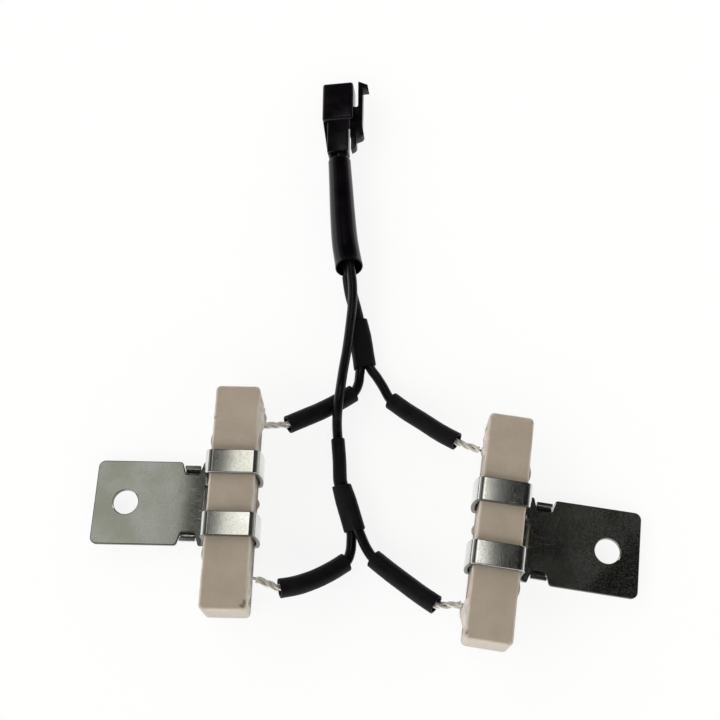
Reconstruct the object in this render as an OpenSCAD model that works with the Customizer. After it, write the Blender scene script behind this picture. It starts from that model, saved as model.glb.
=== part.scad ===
// Twin ceramic power resistor with strap brackets and a two-wire harness.
// Two wirewound ceramic blocks, each held by one folded sheet-steel bracket, are joined in
// parallel by a black harness that ends in a two-way latched plug. Millimetres, +Z up.
// The origin is on the floor, midway between the two blocks.

/* [Layout] */
// Distance between the centres of the two blocks
unit_spacing = 74.2; // [68:0.2:90]
// How far one block lies ahead of the other along the harness
unit_stagger = 2; // [0:0.5:8]
// How far each block leans from the harness direction, in degrees
unit_lean = 3.9; // [0:0.1:6]

/* [Ceramic block] */
// Length of the block
case_l = 63.5; // [58:0.5:80]
// Width of the block
case_w = 12.7; // [11.5:0.1:16]
// Height of the block
case_h = 12.7; // [11.5:0.1:16]
// Wall above and below the filling
case_wall = 1.8; // [1.2:0.1:2.2]
// Wall behind the filling, on the bracket's tab side
case_back = 2.4; // [1.5:0.1:3]
// Wall at each end of the filling
case_end = 2.6; // [1.5:0.1:4]
// Rounding of the long edges
case_edge_r = 0.8; // [0.3:0.1:1.2]
// Rounding of the upright corners
case_corner_r = 1.4; // [0.5:0.1:2.5]
// How far the moulded stops stand proud of the block
stop_proud = 0.75; // [0.3:0.05:1]
// Length of a moulded stop along the block
stop_l = 5.8; // [3:0.1:7]
// Gap between the outer edge of a strap and the nearest stop
stop_gap = 1; // [0.5:0.1:2]
// How far the filling lies below the rim of the block
fill_recess = 0.5; // [0.2:0.1:1]
// How far the filling is heaped above the rim beside each lead
heap_proud = 0.9; // [0.3:0.1:1.5]
// How far each heap lies from its lead towards the end of the block
heap_shift = 2; // [0:0.1:3]

/* [Resistance element] */
// Diameter of the core rod
core_d = 5; // [4:0.1:5.6]
// Diameter of the resistance wire
winding_d = 0.6; // [0.3:0.1:0.8]
// Distance from turn to turn
winding_pitch = 1.5; // [1.2:0.1:3]
// Distance from each end of the block to its lead
lead_inset = 9.75; // [8:0.25:11]
// Length of an end cap
cap_l = 5; // [4:0.1:6]
// Sheet thickness of an end cap
cap_wall = 0.4; // [0.3:0.05:0.6]
// Diameter of a lead
lead_d = 0.9; // [0.6:0.1:1.1]
// Length of a lead beyond its bend
lead_out = 6.9; // [5:0.1:8]
// Radius of the bend in a lead
lead_bend_r = 1.5; // [0.8:0.1:2]

/* [Bracket] */
// Sheet thickness
sheet_t = 1.2; // [0.8:0.1:1.5]
// Width of the sheet across both straps
bracket_w = 24.4; // [22:0.2:27]
// Width of one strap
strap_w = 6.8; // [5:0.1:8]
// Room between the block and the sheet
strap_fit = 0.1; // [0.05:0.05:0.3]
// Inside radius of the bends round the block
strap_r = 1; // [0.9:0.1:1.4]
// Inside radius of the bend from tab to strap
tab_bend_r = 1; // [0.6:0.1:1.4]
// How much the inner legs bow away from the block, in degrees at each bend
leg_bow = 12; // [6:0.5:16]
// Distance from the block's centreline to the end of the tab
tab_reach = 40.2; // [36:0.2:50]
// Distance from the block's centreline to the fixing hole
hole_reach = 31.3; // [28:0.1:34]
// Diameter of the fixing hole
hole_d = 7; // [4:0.1:8]
// Corner radius at the end of the tab
tab_corner_r = 2; // [1:0.1:4]
// Length of a notch at the neck
notch_l = 3.9; // [3.5:0.1:5]
// How much a notch widens at each side on its way to the edge
notch_flare = 1.15; // [0.6:0.05:1.4]
// Corner radius where a notch meets the edge
notch_corner_r = 1; // [0.4:0.1:1.4]
// Corner radius at the foot of a notch
notch_root_r = 0.5; // [0.2:0.1:0.8]
// Distance from the block's centreline to the middle of a notch
notch_reach = 12.85; // [12.6:0.05:13.5]
// Width of a locking lug
lug_w = 4.6; // [3:0.1:4.8]
// How far a lug stays inside the edge of the sheet
lug_margin = 1.1; // [0.7:0.1:1.4]
// Room between a lug and the neck beside it
lug_room = 1.4; // [1:0.1:2]
// Inside radius of a lug's bend
lug_r = 0.8; // [0.5:0.1:0.9]
// How far a lug stands above the tab
lug_proud = 0.3; // [0:0.1:1]
// Gap between the tab and the tongue under it
layer_gap = 0.1; // [0.05:0.05:0.3]

/* [Harness] */
// Outside diameter of the wire
wire_d = 2.9; // [2.4:0.1:3]
// Diameter of the bare strands
strand_d = 0.8; // [0.5:0.1:0.9]
// Advance of the strands in one turn round the lead
strand_pitch = 2.6; // [2:0.1:4]
// Outside diameter of a joint sleeve
sleeve_d = 5.3; // [5:0.1:5.5]
// Wall of a joint sleeve
sleeve_wall = 0.6; // [0.4:0.05:0.7]
// Outside diameter of the narrow splice tube
splice_tube_d = 4; // [3.7:0.1:4.2]
// Wall of the wide splice tube
splice_wall = 0.4; // [0.3:0.05:0.6]
// Length of a splice crimp
crimp_l = 6; // [4:0.5:7]
// Wall of the harness sleeve
harness_wall = 0.5; // [0.3:0.05:0.6]

/* [Plug] */
// Length of the plug's front block
plug_block_l = 15; // [12:0.1:18]
// Width of the front block
plug_block_w = 10.4; // [9:0.1:12]
// Height of the front block
plug_block_h = 7; // [6:0.1:9]
// Edge rounding of the front block
plug_edge_r = 1; // [0.4:0.1:1.4]
// Length of the neck that the wires enter
plug_neck_l = 12.2; // [11:0.1:14]
// Width of the neck
plug_neck_w = 7; // [6.9:0.1:7.4]
// Height of the neck
plug_neck_h = 5.2; // [4.4:0.1:6]
// Distance between the two ways
way_pitch = 3.4; // [3.2:0.1:3.5]
// Width of one terminal cavity
way_w = 2.8; // [2.4:0.1:2.9]
// Thickness of the latch arm
latch_t = 1.65; // [1.2:0.05:2.2]
// Height of the latch arm
latch_h = 3; // [2:0.1:4]
// Gap between the latch arm and the front block
latch_gap = 1.45; // [1:0.05:2]
// How far the hook stands out from the arm
hook_proud = 1.9; // [1:0.1:2.2]
// How far the latch reaches past the front of the block
latch_ahead = 1.4; // [0:0.1:3]
// Length of the slot between the latch arm and the block
latch_slot_l = 9.2; // [7:0.1:11]
// How far the plug is rolled over towards its plain side, in degrees
plug_roll = 8; // [0:0.5:12]

/* [Hidden] */
$fn = 48;
far = 100;
LEFT = 0;
RIGHT = 1;
TOP = 1;
BOTTOM = -1;

unit_at = [[-unit_spacing / 2, unit_stagger / 2, 0], [unit_spacing / 2, -unit_stagger / 2, 0]];
unit_turn = [unit_lean, 180 - unit_lean];

case_z = sheet_t;
case_mid_z = case_z + case_h / 2;
trough_l = case_l - 2 * case_end;
trough_h = case_h - 2 * case_wall;
trough_back_x = -case_w / 2 + case_back;
fill_face_x = case_w / 2 - fill_recess;
heap_r = 4;
heap_h = fill_recess + heap_proud;
heap_ball_r = (heap_r * heap_r + heap_h * heap_h) / (2 * heap_h);
heap_ball_x = fill_face_x + heap_h - heap_ball_r;
stop_y = bracket_w / 2 + stop_gap + stop_l / 2;
stop_h = case_h / 2;
pip_l = 3;
pip_proud = 0.6;

core_x = (trough_back_x + fill_face_x) / 2;
lead_pitch = case_l - 2 * lead_inset;
core_l = lead_pitch + cap_l - 2 * cap_wall;
cap_d = core_d + 2 * cap_wall;
winding_l = lead_pitch - cap_l;
winding_turns = floor(winding_l / winding_pitch);
winding_base = 0.1;
knee_x = case_w / 2 + heap_proud;
// Swing of each lead away from square to the block: bottom lead, then top lead, of each unit
lead_swing = [[-21, 3], [-13, 10]];
lead_bend_steps = 4;
lead_sides = 12;

tab_z = sheet_t + layer_gap;
tab_top = tab_z + sheet_t;
half_w = bracket_w / 2;
leg_outer_x = case_w / 2 + strap_fit + sheet_t;
tab_bend_x = leg_outer_x + tab_bend_r;
strap_bend_x = case_w / 2 + strap_fit - strap_r;
slot_w = bracket_w - 2 * strap_w;
tongue_end = 0.4;
tongue_reach = notch_reach + lug_w / 2 + tongue_end;
lug_span = bracket_w - 2 * lug_margin;
neck_w = lug_span - 2 * (sheet_t + lug_room);
tongue_w = lug_span - 2 * (sheet_t + lug_r);
bend_step = 10;
plate_lap = 0.4;

wire_r = wire_d / 2;
wire_sides = 8;
strand_sides = 6;
strand_steps = 8;
strand_start = 0.8;
strand_gap = 0.02;
strand_ease = 0.3;
tube_sides = 16;
tube_fit = 0.1;
harness_d_plug = 7.4;
harness_d_open = 8.7;

plug_at = [-19.3, 120.9, 0];
plug_turn = 5;
plug_mid_z = (plug_block_w / 2 - plug_edge_r) * sin(plug_roll)
    + (plug_block_h / 2 - plug_edge_r) * cos(plug_roll) + plug_edge_r;
plug_l = plug_neck_l + plug_block_l;
way_x = [-way_pitch / 2, way_pitch / 2];
wire_entry = 7;
entry_d = wire_d + tube_fit;
entry_shoulder = 0.8;
entry_l = plug_neck_l - entry_shoulder;
wire_straight = 1;
terminal_fit = 0.2;
terminal_w = way_w - 2 * terminal_fit;
terminal_mouth_w = 1.4;
terminal_recess = 3;
terminal_l = plug_block_l - terminal_recess;
mouth_depth = 2;

// Where each wide splice tube begins and ends, and how far it is rolled about its own length
splice_from = [[-7.5, 61.6, 2], [-7.5, 9, 2.9]];
splice_to = [[-4, 46.6, 2], [-2.5, -3.8, 2.9]];
splice_roll = [0, 45];
REAR = 0;
FRONT = 1;
feed_depth = 1;
feed_lead_in = 1.2;

// Routes of the harness, chosen by hand, from each joint to its splice and from the plug to each splice
route_left_top = [
    [-24.5, 24, 7.4], [-20, 27.1, 6.2], [-16, 30, 4.8], [-11.2, 33.8, 3.5],
    [-6.7, 37.6, 2.8], [-5.5, 41, 2.3], [-5.4, 44, 2]];
route_left_bottom = [
    [-21, -23, 7.4], [-16.5, -21.4, 6.4], [-12, -19, 5.2], [-7.8, -16, 4],
    [-4.1, -12.8, 3], [-3.2, -9.8, 2.3], [-3.2, -6.5, 1.9]];
route_right_top = [
    [23.5, 23.5, 7.4], [19, 26.1, 6.3], [14, 29.6, 5], [9.3, 32.8, 3.8],
    [4.7, 36.3, 2.8], [1.8, 40.8, 2.3], [-0.1, 43.6, 2]];
route_right_bottom = [
    [20.5, -23.5, 7.4], [16.5, -20.9, 6.4], [12.5, -18, 5.3], [7.8, -14.6, 4.2],
    [3.4, -11.2, 3.2], [1.1, -8.4, 3.3], [-0.6, -5.4, 3.7]];
route_feed_rear = [
    [-20.2, 117, 3.9], [-18.6, 107.5, 3.6], [-17, 98, 3.1], [-14.7, 87.5, 2.9], [-12.9, 80.7, 2.9],
    [-11.9, 76.9, 2.25], [-10.6, 71.4, 2], [-8.9, 66.3, 2]];
route_feed_front = [
    [-17.2, 117, 4.5], [-15.8, 107.5, 4.8], [-14.5, 98, 5.3], [-12.9, 88, 5.5], [-11.6, 80, 5.7],
    [-10.1, 72, 5.7], [-9.6, 66, 5.7], [-9.6, 58, 5.7], [-9.8, 50, 6.2],
    [-10.2, 43, 7], [-10.4, 36.5, 7.9], [-10.6, 31.5, 7.4], [-10.5, 27, 4.5],
    [-9.9, 22.9, 2.4], [-8.8, 16.4, 2.4]];
rear_tube_first = 5;
front_tube_first = 13;
route_harness_sleeve = [
    [-18.7, 118.3, 4.2], [-17.1, 107.5, 4.2], [-15.7, 98, 4.2], [-14, 88, 4.2], [-12.1, 80.2, 4.4],
    [-11.8, 78.9, 4.7]];
sleeve_last = 4;
wire_first = 1;

// Small vector and route helpers

function unit(v) = v / norm(v);
function turned(p, a) = [p.x * cos(a) - p.y * sin(a), p.x * sin(a) + p.y * cos(a), p.z];
function on_unit(u, p) = unit_at[u] + turned(p, unit_turn[u]);
function rolled(p, a) = [p.x * cos(a) - p.z * sin(a), p.y, p.x * sin(a) + p.z * cos(a)];
function on_plug(p) = plug_at + [0, 0, plug_mid_z] + turned(rolled(p, plug_roll), plug_turn);
function part_of(list, from, to) = [for (i = [from:to]) list[i]];
function reversed(list) = [for (i = [len(list) - 1:-1:0]) list[i]];

// Direction of a route at one of its points
function heading(path, i) =
    let (last = len(path) - 1)
    unit(path[min(i + 1, last)] - path[max(i - 1, 0)]);

// One ring of points square to a route
function ring(p, along, r, sides) =
    let (side = unit(cross(along, [0, 0, 1])), up = cross(side, along))
    [for (k = [0:sides - 1]) let (a = 360 * (k + 0.5) / sides) p + r * (cos(a) * side + sin(a) * up)];

function rings(path, radii, sides) =
    [for (i = [0:len(path) - 1]) each ring(path[i], heading(path, i), radii[i], sides)];

function wall_faces(first, count, sides) =
    [for (i = [0:count - 2], k = [0:sides - 1])
        let (a = first + i * sides + k, b = first + i * sides + (k + 1) % sides)
        each [[a, b, b + sides], [a, b + sides, a + sides]]];

// A solid round cord along a route
module cord(path, d, sides) {
    count = len(path);
    last = (count - 1) * sides;
    polyhedron(
        points = rings(path, [for (p = path) d / 2], sides),
        faces = concat(
            wall_faces(0, count, sides),
            [[for (k = [sides - 1:-1:0]) k]],
            [[for (k = [0:sides - 1]) last + k]]));
}

// A hollow tube along a route, given its outer radius at each point and its wall
module hollow(path, outer, wall, sides) {
    count = len(path);
    inner = [for (r = outer) r - wall];
    base = count * sides;
    last = (count - 1) * sides;
    polyhedron(
        points = concat(rings(path, outer, sides), rings(path, inner, sides)),
        faces = concat(
            wall_faces(0, count, sides),
            [for (f = wall_faces(base, count, sides)) reversed(f)],
            [for (k = [0:sides - 1]) let (n = (k + 1) % sides) [n, k, base + k, base + n]],
            [for (k = [0:sides - 1]) let (n = (k + 1) % sides)
                [last + k, last + n, base + last + n, base + last + k]]));
}

module round_tube(path, d, wall) {
    hollow(path, [for (p = path) d / 2], wall, tube_sides);
}

// Outline helpers

// A corner [x, y, radius] of an outline, drawn as an arc between its two neighbours
function corner(before, at, after) =
    let (p = [at[0], at[1]], a = unit([before[0], before[1]] - p), b = unit([after[0], after[1]] - p),
         half = acos(a * b) / 2, r = at[2])
    r == 0 ? [p] :
    let (c = p + unit(a + b) * r / sin(half), s = p + a * r / tan(half) - c, e = p + b * r / tan(half) - c,
         from = atan2(s.y, s.x), sweep = (atan2(e.y, e.x) - from + 540) % 360 - 180,
         steps = ceil(abs(sweep) / bend_step))
    [for (k = [0:steps]) c + r * [cos(from + sweep * k / steps), sin(from + sweep * k / steps)]];

function rounded(corners) =
    let (n = len(corners))
    [for (i = [0:n - 1]) each corner(corners[(i + n - 1) % n], corners[i], corners[(i + 1) % n])];

module rounded_rect(w, h, r) {
    square([w - 2 * r, h], center = true);
    square([w, h - 2 * r], center = true);
    for (x = [-1, 1], y = [-1, 1]) translate([x * (w / 2 - r), y * (h / 2 - r)]) circle(r);
}

// Folded sheet: a run of [straight, turn, inside radius] steps followed by the middle of the sheet
function bend(pose, turn, r) =
    let (side = sign(turn), steps = max(2, ceil(abs(turn) / bend_step)),
         c = [pose[0] - side * r * sin(pose[2]), pose[1] + side * r * cos(pose[2])])
    [for (k = [1:steps]) let (h = pose[2] + turn * k / steps)
        [c.x + side * r * sin(h), c.y - side * r * cos(h), h]];

function fold(pose, steps, i = 0) =
    i == len(steps) ? [pose] :
    let (s = steps[i], go = [pose[0] + s[0] * cos(pose[2]), pose[1] + s[0] * sin(pose[2]), pose[2]],
         turn = s[1] == 0 ? [go] : bend(go, s[1], s[2] + sheet_t / 2))
    concat([pose], s[0] == 0 || s[1] == 0 ? [] : [go], part_of(turn, 0, len(turn) - 2),
        fold(turn[len(turn) - 1], steps, i + 1));

function sheet_side(pose, off) = [pose[0] - off * sin(pose[2]), pose[1] + off * cos(pose[2])];

module folded_sheet(poses, width) {
    outline = concat(
        [for (p = poses) sheet_side(p, sheet_t / 2)],
        [for (p = reversed(poses)) sheet_side(p, -sheet_t / 2)]);
    rotate([90, 0, 0]) linear_extrude(width, center = true) polygon(outline);
}

// Resistor

module on_block(u) {
    translate(unit_at[u]) rotate([0, 0, unit_turn[u]]) children();
}

module rounded_block() {
    translate([0, 0, case_mid_z]) intersection() {
        rotate([90, 0, 0]) linear_extrude(case_l, center = true) rounded_rect(case_w, case_h, case_edge_r);
        linear_extrude(case_h, center = true) rounded_rect(case_w, case_l, case_corner_r);
        rotate([90, 0, 90]) linear_extrude(case_w, center = true) rounded_rect(case_l, case_h, case_edge_r);
    }
}

// A shallow moulded lens on the side of the block at x, as seen from above
module moulded_lens(x, l, proud, h) {
    lens_r = (l * l / 4 + proud * proud) / (2 * proud);
    linear_extrude(h) intersection() {
        translate([x - sign(x) * (lens_r - proud), 0]) circle(lens_r);
        translate([x, 0]) square([3 * proud, 2 * l], center = true);
    }
}

module ceramic_case() {
    color("tan") difference() {
        union() {
            rounded_block();
            for (end = [-1, 1]) translate([0, end * stop_y, case_mid_z - stop_h / 2])
                moulded_lens(-case_w / 2, stop_l, stop_proud, stop_h);
            translate([0, 0, case_z + case_edge_r])
                moulded_lens(case_w / 2, pip_l, pip_proud, case_wall - case_edge_r);
        }
        translate([trough_back_x, -trough_l / 2, case_z + case_wall]) cube([far, trough_l, trough_h]);
    }
}

module along_block(x, from, to, d) {
    translate([x, from, case_mid_z]) rotate([-90, 0, 0]) cylinder(d = d, h = to - from);
}

module element_space() {
    along_block(core_x, -winding_l / 2, winding_l / 2, core_d + 2 * winding_d);
    for (end = [-1, 1]) {
        along_block(core_x, end * lead_pitch / 2 - cap_l / 2, end * lead_pitch / 2 + cap_l / 2, cap_d);
        translate([core_x, end * lead_pitch / 2, case_mid_z]) rotate([0, 90, 0])
            cylinder(d = lead_d, h = far);
    }
}

module cement_fill() {
    color("gainsboro") difference() {
        union() {
            translate([trough_back_x, -trough_l / 2, case_z + case_wall])
                cube([fill_face_x - trough_back_x, trough_l, trough_h]);
            for (end = [-1, 1]) intersection() {
                translate([heap_ball_x, end * (lead_pitch / 2 + heap_shift), case_mid_z])
                    sphere(heap_ball_r);
                translate([core_x, -trough_l / 2, case_z + case_wall]) cube([far, trough_l, trough_h]);
            }
        }
        element_space();
    }
}

module core_rod() {
    color("white") along_block(core_x, -core_l / 2, core_l / 2, core_d);
}

module winding() {
    r = core_d / 2;
    crest = [0.06, 0.3, 0.5, 0.7, 0.94];
    pitch = winding_l / winding_turns;
    profile = concat(
        [[r, 0]],
        [for (i = [0:winding_turns - 1], c = crest)
            [r + winding_base + (winding_d - winding_base) * sin(180 * c), (i + c) * pitch]],
        [[r, winding_l]]);
    color("peru") translate([core_x, -winding_l / 2, case_mid_z]) rotate([-90, 0, 0])
        rotate_extrude() polygon(profile);
}

module end_cap(end) {
    color("silver") translate([core_x, end * (lead_pitch - cap_l) / 2, case_mid_z]) rotate([-90 * end, 0, 0])
        difference() {
            cylinder(d = cap_d, h = cap_l);
            translate([0, 0, -cap_wall]) cylinder(d = core_d, h = cap_l);
        }
}

function swing_of(u, end) = lead_swing[u][end == TOP ? 1 : 0];

// A lead in its block: out of the end cap to the face of the filling, round its bend, and straight on
function lead_path(u, end) =
    let (swing = swing_of(u, end), y = end * lead_pitch / 2,
         bend = [for (k = [0:lead_bend_steps]) let (a = swing * k / lead_bend_steps)
             [knee_x + lead_bend_r * sin(abs(a)), y + sign(swing) * lead_bend_r * (1 - cos(a)), case_mid_z]])
    concat([[core_x + cap_d / 2, y, case_mid_z]], bend,
        [bend[lead_bend_steps] + lead_out * [cos(swing), sin(swing), 0]]);

module lead(u, end) {
    color("lightgray") cord(lead_path(u, end), lead_d, lead_sides);
}

// Bracket: a tab, two straps over the block, and a tongue that comes back under the tab
// and locks into its notches with two lugs

function bracket_fold() =
    let (bend_mid = strap_r + sheet_t / 2,
         tab_mid_z = tab_z + sheet_t / 2,
         strap_mid_z = case_z + case_h + strap_fit + sheet_t / 2,
         leg = strap_mid_z - bend_mid - tab_mid_z - tab_bend_r - sheet_t / 2,
         across = case_w + 2 * strap_fit - 2 * strap_r,
         rise = strap_mid_z - sheet_t / 2,
         bow_mid = (rise / 2 - bend_mid * (1 - sin(leg_bow))) / sin(leg_bow))
    fold([-tab_bend_x - plate_lap, tab_mid_z, 0], [
        [plate_lap, 90, tab_bend_r],
        [leg, -90, strap_r],
        [across, leg_bow - 90, strap_r],
        [0, -2 * leg_bow, bow_mid - sheet_t / 2],
        [0, leg_bow - 90, strap_r],
        [strap_bend_x + case_w / 2, 0, 0]]);

// Half of the tab's outline, from the bend to the tab's end, for one side of its centreline
function tab_edge(side) =
    let (near = notch_reach - notch_l / 2, deep = notch_reach + notch_l / 2)
    [[-tab_bend_x + plate_lap, side * half_w, 0],
     [-near + notch_flare, side * half_w, 0],
     [-near, side * neck_w / 2, notch_root_r],
     [-deep, side * neck_w / 2, notch_root_r],
     [-deep - notch_flare, side * half_w, notch_corner_r],
     [-tab_reach, side * half_w, tab_corner_r]];

module tab_plate() {
    translate([0, 0, tab_z]) difference() {
        linear_extrude(sheet_t) polygon(rounded(concat(tab_edge(1), reversed(tab_edge(-1)))));
        translate([-hole_reach, 0, -sheet_t]) cylinder(d = hole_d, h = 3 * sheet_t);
    }
}

module locking_lug() {
    start = tongue_w / 2 - plate_lap;
    up = tab_top + lug_proud - sheet_t - lug_r;
    rotate([0, 0, 90])
        folded_sheet(fold([start, sheet_t / 2, 0], [[plate_lap, 90, lug_r], [up, 0, 0]]), lug_w);
}

module tongue() {
    translate([-tongue_reach, -tongue_w / 2, 0]) cube([tongue_reach, tongue_w, sheet_t]);
    for (side = [0, 1]) mirror([0, side, 0]) translate([-notch_reach, 0, 0]) locking_lug();
}

module bracket() {
    color("lightsteelblue") union() {
        difference() {
            folded_sheet(bracket_fold(), bracket_w);
            translate([-tab_bend_x, -slot_w / 2, tab_z - layer_gap / 2]) cube([far, slot_w, far]);
            translate([strap_bend_x, -slot_w / 2, -far / 2]) cube([far, slot_w, far]);
        }
        tab_plate();
        tongue();
    }
}

// Harness joints

// Where the straight outer part of a lead begins, its direction, and the level direction square to it
function joint_frame(u, end) =
    let (turn = unit_turn[u] + swing_of(u, end))
    [on_unit(u, lead_path(u, end)[lead_bend_steps + 1]),
     [cos(turn), sin(turn), 0], [-sin(turn), cos(turn), 0]];

// A route whose sleeve end is drawn to the tip of its lead, wherever the block puts that tip
function drawn(u, end, route) =
    let (f = joint_frame(u, end), pull = f[0] + f[1] * lead_out - route[0])
    [for (i = [0:len(route) - 1]) route[i] + pull * max(0, 1 - i / sleeve_last)];

path_left_top = drawn(LEFT, TOP, route_left_top);
path_left_bottom = drawn(LEFT, BOTTOM, route_left_bottom);
path_right_top = drawn(RIGHT, BOTTOM, route_right_top);
path_right_bottom = drawn(RIGHT, TOP, route_right_bottom);

// Bare strands twisted round the lead and led on to the end of the wire
function strand_path(u, end, route) =
    let (f = joint_frame(u, end), r = (lead_d + strand_d) / 2 + strand_gap, start = strand_start,
         stop = lead_out + strand_d / 2, steps = ceil(strand_steps * (stop - start) / strand_pitch))
    concat(
        [for (k = [0:steps]) let (s = start + (stop - start) * k / steps, a = 360 * s / strand_pitch)
            f[0] + f[1] * s + r * (cos(a) * f[2] + sin(a) * [0, 0, 1])],
        [route[wire_first] + strand_ease * (route[0] - route[wire_first]),
         route[wire_first] + strand_gap * unit(route[0] - route[wire_first])]);

module strands(u, end, route) {
    color("silver") cord(strand_path(u, end, route), strand_d, strand_sides);
}

module joint_sleeve(route) {
    color("black") round_tube(part_of(route, 0, sleeve_last), sleeve_d, sleeve_wall);
}

// Splices: a point u along a wide splice tube, on its axis or in the place of one of its two branch wires
function splice_dir(s) = unit(splice_to[s] - splice_from[s]);
function splice_side(s) =
    let (d = splice_dir(s), side = [-d.y, d.x, 0])
    cos(splice_roll[s]) * side + sin(splice_roll[s]) * [0, 0, 1];
function splice_point(s, u, side) =
    splice_from[s] + u * splice_dir(s) + side * wire_r * splice_side(s);
function splice_l(s) = norm(splice_to[s] - splice_from[s]);
function branch_path(route, s, side) =
    concat(part_of(route, wire_first, len(route) - 1),
        [splice_point(s, splice_l(s), side), splice_point(s, feed_depth + crimp_l, side)]);

module branch_wire(route, s, side) {
    color("black") cord(branch_path(route, s, side), wire_d, wire_sides);
}

module along_splice(s) {
    d = splice_dir(s);
    translate(splice_from[s]) rotate([0, 0, atan2(d.y, d.x)]) rotate([splice_roll[s], 0, 0])
        rotate([90, 0, 90]) children();
}

module two_wire_oval(r) {
    square([wire_d, 2 * r], center = true);
    for (side = [-1, 1]) translate([side * wire_r, 0]) circle(r);
}

module splice_crimp(s) {
    color("silver") along_splice(s) translate([0, 0, feed_depth]) linear_extrude(crimp_l)
        two_wire_oval(wire_r - splice_wall);
}

module splice_cover(s) {
    color("black") along_splice(s) linear_extrude(splice_l(s)) difference() {
        two_wire_oval(wire_r + tube_fit + splice_wall);
        two_wire_oval(wire_r + tube_fit);
    }
}

function feed_tail(s, back, depth) =
    [splice_from[s] - back * splice_dir(s), splice_from[s] + depth * splice_dir(s)];
function feed_path(route, s, x) =
    concat([on_plug([x, wire_entry, 0]), on_plug([x, -wire_straight, 0])], route,
        feed_tail(s, feed_lead_in, feed_depth));

module feed_wire(route, s, x) {
    color("black") cord(feed_path(route, s, x), wire_d, wire_sides);
}

module splice_tube(route, s, first) {
    path = concat(part_of(route, first, len(route) - 1), feed_tail(s, feed_lead_in, -tube_fit));
    color("black") round_tube(path, splice_tube_d, splice_tube_d / 2 - wire_r - tube_fit);
}

module harness_sleeve() {
    last = len(route_harness_sleeve) - 1;
    radii = [for (i = [0:last]) (harness_d_plug + (harness_d_open - harness_d_plug) * i / last) / 2];
    color("black") hollow(route_harness_sleeve, radii, harness_wall, tube_sides);
}

// Plug: drawn with its rear face at y = 0 and its front towards +y

latch_in = plug_block_w / 2 + latch_gap;
latch_out = latch_in + latch_t;
neck_half = plug_neck_w / 2;
plug_neck_r = 0.5;
hook_l = 3.8;
hook_nose = 1.8;
hook_draft = 0.3;
arm_dip = 0.2;
arm_ease = 4;
latch_round = 0.3;
thumb_from = 6;
thumb_rise = 0.4;
thumb_r = 1;
rest_gap = 0.8;
rest_from = 11.4;
rest_step = 0.5;
rest_r = 1.2;
web_lap = 5.8;
web_gap = 0.5;
fin_t = 0.9;
fin_from = 0.6;

module on_plug_base() {
    translate(plug_at + [0, 0, plug_mid_z]) rotate([0, 0, plug_turn]) rotate([0, -plug_roll, 0]) children();
}

module plug_box(from, to, w, h, r) {
    translate([0, (from + to) / 2, 0]) intersection() {
        rotate([90, 0, 0]) linear_extrude(to - from, center = true) rounded_rect(w, h, r);
        linear_extrude(h, center = true) rounded_rect(w, to - from, r);
        rotate([90, 0, 90]) linear_extrude(w, center = true) rounded_rect(to - from, h, r);
    }
}

// Latch seen from above: hook at the front, web to the block at the middle, thumb rest at the rear
module latch() {
    tip = plug_l + latch_ahead;
    hook_y = tip - hook_l;
    web_y = plug_l - latch_slot_l;
    body = neck_half + web_gap;
    thumb_y = plug_neck_l - thumb_from;
    rest_y = plug_neck_l - rest_from;
    step_y = plug_neck_l - web_lap;
    inner = neck_half + rest_gap;
    outline = rounded([
        [latch_in, tip, 0], [latch_out + hook_proud - hook_draft, tip - hook_nose, latch_round],
        [latch_out + hook_proud, hook_y, 0], [latch_out, hook_y, 0],
        [latch_out - arm_dip, thumb_y + arm_ease, thumb_r],
        [latch_out + thumb_rise, thumb_y, thumb_r],
        [latch_in - rest_step, thumb_y - rest_r, latch_round],
        [latch_in - rest_step, rest_y + rest_r, rest_r],
        [inner, rest_y, latch_round], [inner, step_y, 0],
        [body, step_y, 0], [body, web_y, 0], [latch_in, web_y, rest_step]]);
    linear_extrude(latch_h, center = true) polygon(outline);
}

// Slanting fin on the plain side, from the block's rear corner to the end of the neck
module plug_fin() {
    root = plug_block_w / 2;
    linear_extrude(latch_h, center = true)
        polygon([[-root, plug_neck_l + plug_edge_r], [-root + fin_t, plug_neck_l + plug_edge_r],
                 [-neck_half + fin_t, 2 * fin_from], [-neck_half, fin_from]]);
}

module plug_housing() {
    color("black") on_plug_base() difference() {
        union() {
            plug_box(plug_neck_l, plug_l, plug_block_w, plug_block_h, plug_edge_r);
            plug_box(0, plug_neck_l + 2 * plug_edge_r, plug_neck_w, plug_neck_h, plug_neck_r);
            plug_fin();
            latch();
        }
        for (x = way_x) {
            translate([x, -wire_straight, 0]) rotate([-90, 0, 0])
                cylinder(d = entry_d, h = wire_straight + plug_neck_l);
            translate([x - way_w / 2, entry_l, -way_w / 2]) cube([way_w, far, way_w]);
        }
    }
}

module terminal(way) {
    mouth_from = plug_neck_l + mouth_depth;
    color("goldenrod") on_plug_base() translate([way_x[way], 0, 0]) difference() {
        union() {
            translate([0, wire_entry, 0]) rotate([-90, 0, 0])
                cylinder(d = terminal_w, h = mouth_from - wire_entry);
            translate([-terminal_w / 2, plug_neck_l, -terminal_w / 2])
                cube([terminal_w, terminal_l, terminal_w]);
        }
        translate([-terminal_mouth_w / 2, mouth_from, -terminal_mouth_w / 2])
            cube([terminal_mouth_w, far, terminal_mouth_w]);
    }
}

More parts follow.
